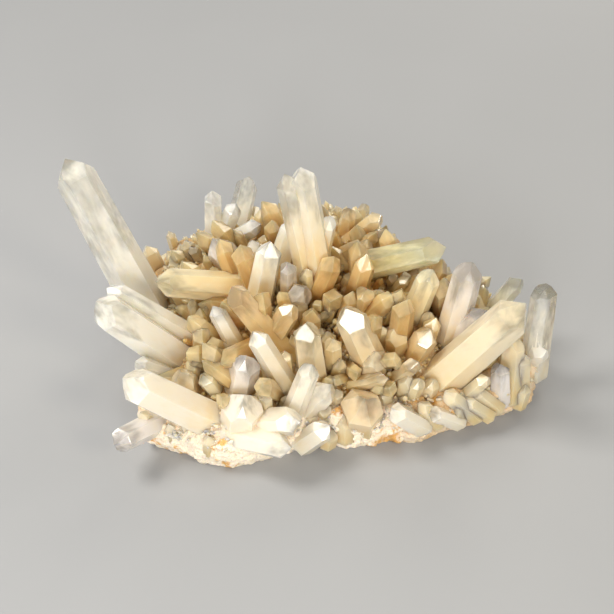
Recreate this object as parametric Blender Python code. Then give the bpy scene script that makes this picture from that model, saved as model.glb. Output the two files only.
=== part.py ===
"""A cluster of clear quartz points radiating from a crusted rock base. Metres, +Z up, resting on z = 0."""

import itertools
import math
from typing import NamedTuple

import bmesh
import bpy
import numpy as np
from mathutils import noise

MM = 0.001

# The picture is seen from the front and above. A place in it, in pixels, is a line of sight through
# the object, and every size below is a real size in millimetres.
PICTURE_MIDDLE = np.array([307.0, 307.0])
PIXEL_MM = 0.53
SIGHT_TILT = math.radians(42.0)
SIGHT_DISTANCE = 700.0
AIM = np.array([0.0, 0.0, 30.0])

# The rock base: its outline in plan, the height of its broken rim and the height of its dome.
BASE_OUTLINE = np.array(
    [
        (-39.0, -89.0),
        (-14.0, -80.0),
        (4.0, -74.0),
        (41.0, -72.5),
        (78.0, -62.0),
        (101.0, -52.0),
        (115.0, -43.0),
        (122.0, -24.0),
        (116.0, -4.0),
        (103.0, 14.0),
        (82.0, 30.0),
        (60.0, 48.0),
        (46.0, 66.0),
        (30.0, 82.0),
        (6.0, 88.0),
        (-24.0, 82.0),
        (-50.0, 76.0),
        (-72.0, 62.0),
        (-84.0, 42.0),
        (-87.0, 12.0),
        (-86.0, -24.0),
        (-86.0, -55.0),
        (-80.0, -73.0),
        (-60.0, -82.0),
    ]
)
BASE_MIDDLE = np.array([6.0, 4.0])
DOME_TOP = 44.0
RIM_FRONT = 9.0
RIM_BACK = 25.0
RIM_SIDE = 14.0
DOME_FALL = 2.0
BASE_SPOKES = 56
BASE_RINGS = 8
LUMP_HEIGHT = 2.6
LUMP_SIZE = 17.0
EDGE_BREAK = 2.4
UNDERCUT = 2.0

# Quartz: six prism faces that narrow a little, closed by three broad and three narrow end faces.
END_FACE_TILT = math.radians(51.8)
PRISM_NARROWING = math.radians(1.1)
SEEN_WIDTH_SHARE = 0.93
SINK_SHARE = 0.45
SINK_MOST = 5.0
SOCKET_GAP = 0.3
MERGE_MM = 0.06

# The points radiate from a spot under the base.
RADIATE_FROM = np.array([8.0, 8.0, -60.0])


class Point(NamedTuple):
    """One quartz point: the picture places of its foot and tip, and its real width and length in mm.

    A point that grows from its neighbour, and not from the rock, has the height of its foot as well.
    """

    name: str
    foot: tuple
    tip: tuple
    width: float
    length: float
    roll: float = 0.0
    skew: float = 0.5
    grows_at: float = 0.0


# Each of these is a solid of its own. Points that have grown together share a name.
OWN_POINTS = (
    Point("tall_left_point", (154, 318), (64, 156), 21.0, 108.0, 20.0, 0.5),
    Point("behind_tall_point", (158, 270), (146, 245), 8.5, 20.0, 10.0),
    Point("back_left_pair", (214, 238), (213, 190), 11.0, 32.0, 0.0),
    Point("back_left_pair", (221, 236), (236, 203), 10.0, 26.0, 25.0),
    Point("clear_back_finger", (236, 227), (249, 175), 12.0, 38.0, 5.0),
    Point("rounded_back_finger", (226, 244), (261, 223), 9.5, 30.0, 0.0),
    Point("lilac_back_point", (236, 272), (211, 238), 14.3, 25.5, 10.0),
    Point("small_middle_finger", (260, 266), (252, 240), 7.5, 20.0, 0.0),
    Point("centre_left_tall_point", (258, 306), (271, 241), 12.0, 42.0, 90.0, 0.7),
    Point("lower_centre_point", (277, 277), (297, 216), 11.5, 36.0, 0.0),
    Point("back_centre_twin", (321, 288), (300, 165), 16.0, 73.0, 8.0),
    Point("back_centre_twin", (312, 287), (285, 173), 12.5, 70.0, 0.0),
    Point("back_centre_twin", (323, 246), (330, 216), 9.0, 20.0, 28.0, 0.5, 66.0),
    Point("back_ridge_pair", (345, 237), (350, 208), 8.0, 22.0, 0.0),
    Point("back_ridge_pair", (347, 243), (382, 214), 9.0, 30.0, 0.0),
    Point("low_back_ridge_point", (370, 256), (386, 229), 7.5, 21.0, 0.0),
    Point("right_arm_point", (347, 270), (447, 247), 14.6, 62.0, 15.0, 0.8),
    Point("yellow_right_point", (411, 320), (433, 269), 11.7, 36.0, 0.0),
    Point("lilac_right_pair", (451, 338), (472, 261), 14.8, 50.0, 12.0),
    Point("olive_right_point", (490, 314), (521, 278), 9.5, 34.0, 20.0),
    Point("left_trio", (192, 338), (106, 287), 11.7, 57.0, 25.0),
    Point("left_trio", (176, 357), (93, 302), 17.0, 60.0, 0.0, 0.9),
    Point("left_trio", (168, 374), (134, 362), 8.5, 24.0, 0.0),
    Point("level_cream_point", (250, 289), (154, 282), 14.0, 56.0, 0.0, 0.8),
    Point("front_left_big_point", (201, 416), (119, 377), 18.5, 52.0, 20.0, 0.7),
    Point("low_left_bluish_point", (160, 421), (112, 445), 13.0, 34.0, 10.0),
    Point("bright_cream_point", (213, 389), (202, 375), 8.2, 15.0, 0.0),
    Point("pale_window_point", (238, 350), (213, 305), 8.5, 29.0, 15.0),
    Point("hidden_tan_point", (285, 352), (230, 286), 13.0, 48.0, 0.0),
    Point("front_centre_point", (283, 379), (253, 331), 11.2, 38.0, 12.0),
    Point("pink_pair", (288, 298), (288, 262), 9.0, 27.0, 0.0),
    Point("pink_pair", (290, 306), (306, 287), 13.0, 21.0, 20.0),
    Point("glinting_middle_point", (314, 379), (306, 322), 12.8, 42.0, 78.0, 0.8),
    Point("yellow_inner_point", (338, 309), (351, 298), 8.0, 12.0, 0.0),
    Point("tan_inner_point", (361, 319), (366, 287), 10.0, 26.0, 0.0),
    Point("star_glint_pair", (370, 360), (345, 306), 15.0, 44.0, 0.0, 0.9),
    Point("star_glint_pair", (371, 369), (375, 351), 13.5, 19.0, 10.0),
    Point("right_inner_point", (398, 378), (419, 361), 9.0, 20.0, 0.0),
    Point("small_glint_point", (415, 354), (431, 330), 12.0, 22.0, 57.0),
    Point("lilac_right_pair", (452, 344), (486, 309), 10.5, 34.0, 22.0),
    Point("right_big_point", (443, 377), (528, 303), 17.5, 68.0, 20.0, 0.9),
    Point("far_right_pair", (534, 368), (546, 282), 12.5, 52.0, 12.0),
    Point("far_right_pair", (524, 362), (547, 350), 8.5, 20.0, 0.0),
    Point("lilac_low_right_point", (500, 398), (500, 363), 9.5, 26.0, 0.0),
    Point("bluish_end_on_point", (240, 390), (247, 354), 13.8, 26.0, 12.0),
    Point("front_block_group", (241, 425), (243, 393), 18.0, 24.0, 24.0),
    Point("front_block_group", (261, 424), (301, 421), 13.8, 30.0, 12.0),
    Point("front_block_group", (236, 435), (293, 448), 12.5, 33.0, 12.0),
    Point("bright_front_point", (307, 441), (331, 425), 11.0, 20.0, 36.0),
    Point("front_middle_pair", (290, 419), (312, 363), 10.6, 40.0, 0.0),
    Point("front_middle_pair", (308, 409), (332, 383), 12.0, 24.0, 20.0),
    Point("pale_yellow_arm", (350, 385), (389, 378), 7.0, 25.0, 0.0),
    Point("clear_block_point", (362, 416), (365, 398), 20.0, 23.0, 20.0, 0.2),
    Point("front_right_pair", (418, 424), (390, 409), 10.5, 25.0, 0.0),
    Point("front_right_pair", (455, 421), (429, 412), 8.5, 20.0, 0.0),
)

# These smaller points are one with the base they grow from.
FUSED_POINTS = (
    Point("small", (466, 396), (489, 377), 8.0, 22.0),
    Point("small", (309, 303), (307, 268), 6.0, 22.0),
    Point("small", (175, 249), (169, 231), 5.3, 14.0),
    Point("small", (254, 220), (256, 206), 5.0, 12.0),
    Point("small", (268, 226), (265, 209), 5.5, 13.0),
    Point("small", (341, 222), (336, 205), 5.0, 12.0),
    Point("small", (357, 231), (366, 203), 6.4, 20.0),
    Point("small", (376, 256), (372, 236), 5.5, 13.0),
    Point("small", (395, 292), (409, 277), 6.5, 15.0),
    Point("small", (434, 308), (443, 277), 6.4, 21.0),
    Point("small", (203, 318), (203, 345), 6.4, 22.0),
    Point("small", (155, 430), (139, 412), 8.0, 16.0),
    Point("small", (266, 412), (265, 392), 7.0, 17.0),
    Point("small", (334, 366), (333, 338), 9.0, 22.0),
    Point("small", (377, 314), (377, 289), 6.5, 18.0),
    Point("small", (508, 392), (514, 333), 11.0, 34.0),
    Point("small", (520, 388), (522, 352), 9.5, 24.0),
    Point("small", (345, 433), (345, 413), 9.0, 13.0),
    Point("small", (382, 428), (382, 414), 5.0, 9.0),
    Point("small", (457, 414), (458, 395), 9.0, 13.0),
    Point("small", (494, 405), (471, 387), 8.0, 20.0),
    Point("small", (485, 413), (463, 399), 8.0, 17.0),
    Point("small", (328, 440), (331, 429), 8.0, 9.0),
    Point("small", (188, 392), (180, 372), 13.0, 18.0),
    Point("small", (424, 332), (431, 312), 7.0, 14.0),
    Point("small", (268, 345), (294, 304), 10.0, 32.0),
    Point("small", (236, 318), (226, 300), 8.0, 18.0),
    Point("small", (344, 262), (352, 244), 7.0, 16.0),
    Point("small", (480, 352), (492, 330), 8.0, 20.0),
    Point("small", (412, 398), (420, 378), 8.0, 16.0),
    Point("small", (184, 290), (172, 268), 8.0, 18.0),
    Point("small", (196, 262), (184, 240), 7.0, 16.0),
)


class BackPoint(NamedTuple):
    """One point low on the far side: foot in plan, height, bearing and rise in degrees, width, length."""

    name: str
    foot: tuple
    height: float
    bearing: float
    rise: float
    width: float
    length: float


BACK_POINTS = (
    BackPoint("far_side_wide_point", (2.0, 84.0), 10.0, 88.0, 4.0, 12.0, 24.0),
    BackPoint("far_side_left_point", (-46.0, 72.0), 10.0, 112.0, 2.0, 11.0, 22.0),
    BackPoint("fused", (-26.0, 80.0), 9.0, 100.0, 0.0, 7.0, 14.0),
    BackPoint("fused", (28.0, 80.0), 12.0, 62.0, 2.0, 8.0, 17.0),
    BackPoint("fused", (52.0, 56.0), 10.0, 45.0, 0.0, 8.0, 17.0),
    BackPoint("fused", (-74.0, 56.0), 9.0, 138.0, 0.0, 8.0, 17.0),
    BackPoint("fused", (92.0, 22.0), 8.0, 48.0, 0.0, 8.0, 16.0),
    BackPoint("fused", (-84.0, 24.0), 8.0, 172.0, 4.0, 8.0, 16.0),
)

# Druse: small points scattered over the dome between the large ones.
DRUSE_COUNT = 32
DRUSE_WIDTH = (4.0, 7.0)
DRUSE_STAND = (1.2, 2.2)
DRUSE_SEED = 11

MILKY = (0.86, 0.84, 0.79, 1.0)
CLEAR = (0.80, 0.80, 0.76, 1.0)
CREAM = (0.86, 0.79, 0.62, 1.0)
YELLOW = (0.80, 0.68, 0.42, 1.0)
LILAC = (0.82, 0.80, 0.83, 1.0)
CRUST = (0.66, 0.48, 0.28, 1.0)
COLOUR_WORDS = (
    ("lilac", LILAC),
    ("pink", LILAC),
    ("bluish", LILAC),
    ("yellow", YELLOW),
    ("tan", YELLOW),
    ("brown", YELLOW),
    ("olive", YELLOW),
    ("cream", CREAM),
    ("clear", CLEAR),
    ("far", CLEAR),
)


def unit(vector):
    """The vector at length one."""
    return vector / np.linalg.norm(vector)


FORWARD = np.array([0.0, math.cos(SIGHT_TILT), -math.sin(SIGHT_TILT)])
RIGHTWARD = np.array([1.0, 0.0, 0.0])
UPWARD = np.array([0.0, math.sin(SIGHT_TILT), math.cos(SIGHT_TILT)])
EYE = AIM - FORWARD * SIGHT_DISTANCE


def sight_line(place):
    """The direction from the eye through a place in the picture."""
    across, down = (np.array(place, float) - PICTURE_MIDDLE) * PIXEL_MM
    return unit(FORWARD * SIGHT_DISTANCE + RIGHTWARD * across - UPWARD * down)


def outline_radius(angle):
    """Distance from the middle of the base to its outline at an angle."""
    spokes = BASE_OUTLINE - BASE_MIDDLE
    angles = np.arctan2(spokes[:, 1], spokes[:, 0])
    order = np.argsort(angles)
    radii = np.hypot(spokes[:, 0], spokes[:, 1])
    return float(np.interp(angle, angles[order], radii[order], period=2 * math.pi))


def rim_height(angle):
    """Height of the rim of the base: low in front, high at the back."""
    back = math.sin(angle)
    if back > 0.0:
        return RIM_SIDE + (RIM_BACK - RIM_SIDE) * back**0.8
    return RIM_SIDE + (RIM_FRONT - RIM_SIDE) * (-back) ** 0.5


def lump(x, y):
    """Small rises and hollows of the crust."""
    coarse = noise.noise((x / LUMP_SIZE, y / LUMP_SIZE, 3.7))
    fine = noise.noise((x / LUMP_SIZE * 2.7, y / LUMP_SIZE * 2.7, 9.1))
    return LUMP_HEIGHT * (coarse + 0.5 * fine)


def dome_height(x, y):
    """Height of the crust over a place in plan."""
    away_x = x - BASE_MIDDLE[0]
    away_y = y - BASE_MIDDLE[1]
    angle = math.atan2(away_y, away_x)
    share = min(math.hypot(away_x, away_y) / outline_radius(angle), 1.0)
    rim = rim_height(angle)
    return rim + (DOME_TOP - rim) * (1.0 - share**DOME_FALL) + lump(x, y)


def on_dome(place):
    """The place on the crust where a line of sight first meets it."""
    line = sight_line(place)
    near = (90.0 - EYE[2]) / line[2]
    far = -EYE[2] / line[2]
    for distance in np.linspace(near, far, 400):
        spot = EYE + line * distance
        if spot[2] <= dome_height(spot[0], spot[1]):
            break
    return spot


def tip_at(foot, place, length):
    """The end of a point of this length whose tip is seen at a place: the outermost of the two there are."""
    line = sight_line(place)
    nearest = float(np.dot(foot - EYE, line))
    square = length**2 - float(np.sum((EYE + line * nearest - foot) ** 2))
    reach = math.sqrt(max(square, 0.0))
    ends = [EYE + line * (nearest + side * reach) for side in (-1.0, 1.0)]
    outward = unit(foot - RADIATE_FROM)
    return max(ends, key=lambda end: float(np.dot(unit(end - foot), outward)))


def solid_from_planes(normals, offsets):
    """Corners and faces of the convex solid that lies inside all the planes."""
    triples = np.array(list(itertools.combinations(range(len(normals)), 3)))
    sides = normals[triples]
    meet = np.abs(np.linalg.det(sides)) > 1e-5
    triples = triples[meet]
    spots = np.linalg.solve(normals[triples], offsets[triples][..., None])[..., 0]
    inside = np.all(spots @ normals.T <= offsets + 1e-6, axis=1)
    corners = []
    members = [set() for _ in normals]
    for spot, triple in zip(spots[inside], triples[inside]):
        index = next((i for i, c in enumerate(corners) if np.linalg.norm(c - spot) < MERGE_MM), None)
        if index is None:
            index = len(corners)
            corners.append(spot)
        for plane in triple:
            members[plane].add(index)
    corners = np.array(corners)
    faces = []
    for normal, held in zip(normals, members):
        if len(held) < 3:
            continue
        held = np.array(sorted(held))
        middle = corners[held].mean(axis=0)
        first = unit(corners[held[0]] - middle)
        second = np.cross(normal, first)
        away = corners[held] - middle
        faces.append(held[np.argsort(np.arctan2(away @ second, away @ first))].tolist())
    return corners, faces


def crystal_planes(foot, tip, width, roll, skew, seed):
    """Normals and offsets of a six-sided point: prism, end faces and a flat foot sunk in the base."""
    chance = np.random.default_rng(seed)
    axis = unit(tip - foot)
    side = np.cross(axis, UPWARD)
    side = unit(side if np.linalg.norm(side) > 0.2 else np.cross(axis, RIGHTWARD))
    other = np.cross(axis, side)
    inner = 0.5 * width / SEEN_WIDTH_SHARE * math.cos(math.pi / 6)
    length = np.linalg.norm(tip - foot)
    normals = []
    offsets = []
    for step in range(6):
        angle = math.radians(roll) + step * math.pi / 3
        radial = side * math.cos(angle) + other * math.sin(angle)
        flat = radial * math.cos(PRISM_NARROWING) + axis * math.sin(PRISM_NARROWING)
        out = inner * (1.0 + 0.13 * chance.uniform(-1.0, 1.0))
        normals.append(flat)
        offsets.append(float(np.dot(flat, foot + axis * 0.6 * length + radial * out)))
    for step in range(6):
        angle = math.radians(roll) + step * math.pi / 3
        radial = side * math.cos(angle) + other * math.sin(angle)
        slope = radial * math.sin(END_FACE_TILT) + axis * math.cos(END_FACE_TILT)
        back = -inner * skew * 0.25 * chance.random() if step % 2 == 0 else inner * 0.22 * chance.random()
        normals.append(slope)
        offsets.append(float(np.dot(slope, tip)) + back)
    sink = min(SINK_SHARE * width, SINK_MOST)
    normals.append(-axis)
    offsets.append(float(np.dot(-axis, foot - axis * sink)))
    return np.array(normals), np.array(offsets)


def mesh_object(name, corners, faces):
    """A closed mesh object from corners in millimetres."""
    mesh = bpy.data.meshes.new(name)
    mesh.from_pydata((np.asarray(corners) * MM).tolist(), [], faces)
    mesh.update()
    built = bpy.data.objects.new(name, mesh)
    bpy.context.scene.collection.objects.link(built)
    return built


def crystal(name, planes, grow=0.0):
    """One convex point as an object, grown outwards by a gap where it cuts a socket."""
    normals, offsets = planes
    corners, faces = solid_from_planes(normals, offsets + grow)
    return mesh_object(name, corners, faces)


def combined(target, others, operation):
    """The target with the other objects joined to it or cut from it, as plain mesh. The others go."""
    group = bpy.data.collections.new("tools")
    bpy.context.scene.collection.children.link(group)
    for other in others:
        bpy.context.scene.collection.objects.unlink(other)
        group.objects.link(other)
    change = target.modifiers.new("combine", "BOOLEAN")
    change.operation = operation
    change.solver = "EXACT"
    change.operand_type = "COLLECTION"
    change.collection = group
    bpy.context.view_layer.update()
    graph = bpy.context.evaluated_depsgraph_get()
    mesh = bpy.data.meshes.new_from_object(target.evaluated_get(graph))
    target.modifiers.clear()
    target.data = mesh
    for other in others:
        bpy.data.objects.remove(other)
    bpy.data.collections.remove(group)


def largest_island(built):
    """Keeps the one body with the most faces and drops crumbs that a cut left loose."""
    work = bmesh.new()
    work.from_mesh(built.data)
    bmesh.ops.remove_doubles(work, verts=work.verts, dist=0.00001)
    bmesh.ops.dissolve_degenerate(work, edges=work.edges, dist=0.00001)
    left = set(work.verts)
    islands = []
    while left:
        reached = {left.pop()}
        front = list(reached)
        while front:
            corner = front.pop()
            for edge in corner.link_edges:
                far = edge.other_vert(corner)
                if far in left:
                    left.remove(far)
                    reached.add(far)
                    front.append(far)
        islands.append(reached)
    keep = max(islands, key=len)
    loose = [corner for island in islands if island is not keep for corner in island]
    bmesh.ops.delete(work, geom=loose, context="VERTS")
    bmesh.ops.triangulate(work, faces=work.faces)
    bmesh.ops.recalc_face_normals(work, faces=work.faces)
    work.to_mesh(built.data)
    work.free()


def base_rock():
    """The rock base: a crusted dome over a flat underside, with a broken rim."""
    corners = []
    faces = []
    middle = BASE_MIDDLE
    for ring in range(1, BASE_RINGS + 1):
        share = ring / BASE_RINGS
        for spoke in range(BASE_SPOKES):
            angle = 2 * math.pi * spoke / BASE_SPOKES
            radius = outline_radius(angle) * share
            x = middle[0] + radius * math.cos(angle)
            y = middle[1] + radius * math.sin(angle)
            corners.append((x, y, dome_height(x, y)))
    for part, height_share in ((0.55, 0.62), (0.5, 0.3), (-0.6, 0.0)):
        for spoke in range(BASE_SPOKES):
            angle = 2 * math.pi * spoke / BASE_SPOKES
            rough = noise.noise((4.0 * math.cos(angle), 4.0 * math.sin(angle), part * 6.0))
            jag = noise.noise((11.0 * math.cos(angle), 11.0 * math.sin(angle), part * 9.0))
            radius = outline_radius(angle) + part * UNDERCUT + EDGE_BREAK * (rough + 0.6 * jag)
            x = middle[0] + radius * math.cos(angle)
            y = middle[1] + radius * math.sin(angle)
            rim = rim_height(angle) + lump(x, y)
            corners.append((x, y, rim * height_share))
    rows = BASE_RINGS + 3
    for row in range(rows - 1):
        for spoke in range(BASE_SPOKES):
            after = (spoke + 1) % BASE_SPOKES
            inner = row * BASE_SPOKES
            outer = inner + BASE_SPOKES
            faces.append((inner + spoke, outer + spoke, outer + after, inner + after))
    top = len(corners)
    corners.append((middle[0], middle[1], dome_height(middle[0], middle[1])))
    for spoke in range(BASE_SPOKES):
        faces.append((top, spoke, (spoke + 1) % BASE_SPOKES))
    under = (rows - 1) * BASE_SPOKES
    faces.append(tuple(under + spoke for spoke in reversed(range(BASE_SPOKES))))
    return mesh_object("rock_base", corners, faces)


def placed(point, seed):
    """Planes of a point whose foot and tip are seen in the picture."""
    foot = on_dome(point.foot)
    if point.grows_at:
        line = sight_line(point.foot)
        foot = EYE + line * ((point.grows_at - EYE[2]) / line[2])
    tip = tip_at(foot, point.tip, point.length)
    return crystal_planes(foot, tip, point.width, point.roll, point.skew, seed)


def placed_back(point, seed):
    """Planes of a point on the far side."""
    bearing = math.radians(point.bearing)
    rise = math.radians(point.rise)
    flat = math.cos(rise)
    axis = np.array([flat * math.cos(bearing), flat * math.sin(bearing), math.sin(rise)])
    foot = np.array([point.foot[0], point.foot[1], point.height])
    return crystal_planes(foot - axis * 3.0, foot + axis * point.length, point.width, 0.0, 0.5, seed)


def druse_planes():
    """Planes of the small points scattered over the dome."""
    chance = np.random.default_rng(DRUSE_SEED)
    found = []
    for step in range(DRUSE_COUNT):
        angle = 2 * math.pi * 0.618034 * step
        share = 0.99 * math.sqrt((step + 0.5) / DRUSE_COUNT)
        radius = outline_radius(math.remainder(angle, 2 * math.pi)) * share
        x = BASE_MIDDLE[0] + radius * math.cos(angle)
        y = BASE_MIDDLE[1] + radius * math.sin(angle)
        foot = np.array([x, y, dome_height(x, y)])
        lean = chance.normal(0.0, 0.28, 3)
        axis = unit(unit(foot - RADIATE_FROM) + lean)
        width = chance.uniform(*DRUSE_WIDTH)
        stand = width * chance.uniform(*DRUSE_STAND)
        tip = foot + axis * stand
        found.append(crystal_planes(foot, tip, width, chance.uniform(0, 60), 0.6, step + 500))
    return found


def colour_of(name):
    """The colour that a point's name stands for."""
    for word, colour in COLOUR_WORDS:
        if word in name:
            return colour
    return MILKY


def give_material(built, colour, roughness):
    """A material of its own for one object."""
    material = bpy.data.materials.new(built.name)
    material.use_nodes = True
    shader = material.node_tree.nodes["Principled BSDF"]
    shader.inputs["Base Color"].default_value = colour
    shader.inputs["Roughness"].default_value = roughness
    shader.inputs["Metallic"].default_value = 0.0
    built.data.materials.clear()
    built.data.materials.append(material)


def shift_to_middle(objects):
    """Moves every mesh so that the box round them all stands with its bottom middle on the origin."""
    spots = np.array([corner.co[:] for built in objects for corner in built.data.vertices])
    low = spots.min(axis=0)
    high = spots.max(axis=0)
    shift = np.array([(low[0] + high[0]) / 2, (low[1] + high[1]) / 2, low[2]])
    for built in objects:
        for corner in built.data.vertices:
            corner.co = np.array(corner.co[:]) - shift
        built.data.update()
    return shift


def build():
    """Builds every piece and returns how far the whole was shifted, in metres."""
    for old in list(bpy.data.objects):
        bpy.data.objects.remove(old)
    own = {}
    for seed, point in enumerate(OWN_POINTS):
        own.setdefault(point.name, []).append(placed(point, seed))
    for seed, point in enumerate(BACK_POINTS):
        if point.name != "fused":
            own.setdefault(point.name, []).append(placed_back(point, seed + 300))
    fused = [placed(point, seed + 200) for seed, point in enumerate(FUSED_POINTS)]
    fused += [placed_back(point, seed + 300) for seed, point in enumerate(BACK_POINTS) if point.name == "fused"]
    fused += druse_planes()
    rock = base_rock()
    combined(rock, [crystal("small_point", planes) for planes in fused], "UNION")
    sockets = [crystal("socket", planes, SOCKET_GAP) for group in own.values() for planes in group]
    combined(rock, sockets, "DIFFERENCE")
    largest_island(rock)
    pieces = [rock]
    for name, group in own.items():
        first = crystal(name, group[0])
        if len(group) > 1:
            combined(first, [crystal("joined", planes) for planes in group[1:]], "UNION")
            largest_island(first)
        pieces.append(first)
        give_material(first, colour_of(name), 0.12)
    give_material(rock, CRUST, 0.75)
    return shift_to_middle(pieces)


SHIFT = build()
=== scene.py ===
"""Looks of the clear quartz cluster: clear and cloudy points on a crusted, iron-stained rock base.

Shapes are worked out in millimetres and put into the meshes in metres. The large points stand where the
frame's solids stand: their feet and tips are found along lines of sight, in the same way as the solids.
"""

import itertools
import logging
import math
from dataclasses import dataclass, field
from enum import Enum

import bmesh
import bpy
import numpy as np
from mathutils import Matrix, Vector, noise


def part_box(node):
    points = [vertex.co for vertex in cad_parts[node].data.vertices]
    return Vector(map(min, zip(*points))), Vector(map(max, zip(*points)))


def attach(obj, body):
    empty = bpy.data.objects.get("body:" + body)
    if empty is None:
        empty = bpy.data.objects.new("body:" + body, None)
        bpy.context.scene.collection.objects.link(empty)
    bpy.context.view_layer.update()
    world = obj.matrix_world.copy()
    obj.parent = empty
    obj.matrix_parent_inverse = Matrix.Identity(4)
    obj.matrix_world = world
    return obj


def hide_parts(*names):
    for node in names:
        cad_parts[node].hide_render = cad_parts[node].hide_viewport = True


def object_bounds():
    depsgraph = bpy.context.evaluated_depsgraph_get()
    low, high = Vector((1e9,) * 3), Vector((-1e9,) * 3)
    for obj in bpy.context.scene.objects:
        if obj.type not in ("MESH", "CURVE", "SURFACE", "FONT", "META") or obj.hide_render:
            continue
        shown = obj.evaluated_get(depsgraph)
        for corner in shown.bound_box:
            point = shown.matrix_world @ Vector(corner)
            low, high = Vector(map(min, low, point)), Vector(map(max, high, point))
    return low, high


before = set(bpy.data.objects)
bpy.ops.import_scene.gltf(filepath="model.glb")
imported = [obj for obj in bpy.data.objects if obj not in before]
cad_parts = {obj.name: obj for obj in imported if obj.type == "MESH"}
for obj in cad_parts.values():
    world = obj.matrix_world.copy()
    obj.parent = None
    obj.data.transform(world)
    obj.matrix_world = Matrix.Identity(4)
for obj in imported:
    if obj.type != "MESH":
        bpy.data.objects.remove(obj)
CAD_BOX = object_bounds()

LOG = logging.getLogger("quartz_cluster")
MM = 0.001
HASH_STEPS = np.array([374761393, 668265263, 2147483647])
HASH_SEED = 1442695041
HASH_MIX = 1274126177
TEN_BITS = 0x3FF
MANY_BITS = 0xFFFFFF
LAYER_FALL = 0.55
LAYER_SEEDS = 17
GOLDEN_SHARE = 0.618034
SIXTH = math.pi / 3
WELD_MM = 0.002
Place = tuple[float, float]
Triple = tuple[float, float, float]


def unit(vectors: np.ndarray) -> np.ndarray:
    """The same directions at length one."""
    return vectors / np.linalg.norm(vectors, axis=-1, keepdims=True)


def ramp(values: np.ndarray, low: float, high: float) -> np.ndarray:
    """Smooth step from 0 at low to 1 at high: 3t^2 - 2t^3 of the clamped share t.

    Args:
        values: any array.
        low: where the step starts.
        high: where the step ends.

    Returns:
        An array from 0 to 1.
    """
    share = np.clip((values - low) / (high - low), 0.0, 1.0)
    return share * share * (3.0 - 2.0 * share)


def chance_numbers(cells: np.ndarray, seed: int) -> np.ndarray:
    """A whole chance number for each cell of a lattice: its three numbers scrambled with the seed.

    Args:
        cells: rows of three whole numbers.
        seed: picks the pattern.

    Returns:
        One whole number for each cell.
    """
    key = cells @ HASH_STEPS + seed * HASH_SEED
    key = (key ^ (key >> 13)) * HASH_MIX
    return key ^ (key >> 16)


def lattice_noise(points: np.ndarray, size: float, seed: int) -> np.ndarray:
    """Value noise: chance values on a cubic lattice, blended smoothly between its corners.

    Args:
        points: rows of places in mm.
        size: spacing of the lattice in mm.
        seed: picks the pattern.

    Returns:
        One value from 0 to 1 for each place.
    """
    scaled = points / size
    base = np.floor(scaled).astype(np.int64)
    part = ramp(scaled - base, 0.0, 1.0)
    total = np.zeros(len(points))
    for corner in itertools.product((0, 1), repeat=3):
        value = (chance_numbers(base + np.array(corner), seed) & MANY_BITS) / MANY_BITS
        total += value * np.prod(np.where(np.array(corner) == 1, part, 1.0 - part), axis=1)
    return total


def layered_noise(points: np.ndarray, size: float, seed: int, layers: int = 4) -> np.ndarray:
    """Sum of value noises, each half the size and a little over half the strength of the last.

    Args:
        points: rows of places in mm.
        size: largest feature in mm.
        seed: picks the pattern.
        layers: how many sizes are summed.

    Returns:
        One value from about 0 to 1 for each place.
    """
    shares = [LAYER_FALL**layer for layer in range(layers)]
    total = np.zeros(len(points))
    for layer, share in enumerate(shares):
        total += share * lattice_noise(points, size / 2**layer, seed + layer * LAYER_SEEDS)
    return total / sum(shares)


def cell_noise(points: np.ndarray, size: float, seed: int) -> tuple[np.ndarray, np.ndarray]:
    """Blocks round chance spots, of which each cell of a cubic lattice holds one.

    Args:
        points: rows of places in mm.
        size: spacing of the lattice in mm.
        seed: picks the pattern.

    Returns:
        The distance to the nearest spot as a share of the spacing, and that spot's own number from 0 to 1.
    """
    scaled = points / size
    base = np.floor(scaled).astype(np.int64)
    nearest = np.full(len(points), np.inf)
    owner = np.zeros(len(points))
    for corner in itertools.product((-1, 0, 1), repeat=3):
        cell = base + np.array(corner)
        key = chance_numbers(cell, seed)
        parts = [(key >> shift & TEN_BITS) / TEN_BITS for shift in (0, 10, 20, 30)]
        gap = np.linalg.norm(scaled - (cell + np.stack(parts[:3], axis=-1)), axis=1)
        closer = gap < nearest
        nearest = np.where(closer, gap, nearest)
        owner = np.where(closer, parts[3], owner)
    return nearest, owner


def placed(name: str, data: bpy.types.ID, columns: tuple[np.ndarray, ...]) -> bpy.types.Object:
    """Makes an object of a camera or a lamp and stands it in its place.

    Args:
        name: the object's name.
        data: the camera or the lamp.
        columns: the directions of its own x, y and z, and its place in metres.

    Returns:
        The object.
    """
    made = bpy.data.objects.new(name, data)
    bpy.context.scene.collection.objects.link(made)
    matrix = Matrix.Identity(4)
    for index, column in enumerate(columns):
        for row in range(3):
            matrix[row][index] = float(column[row])
    made.matrix_world = matrix
    return made


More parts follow.
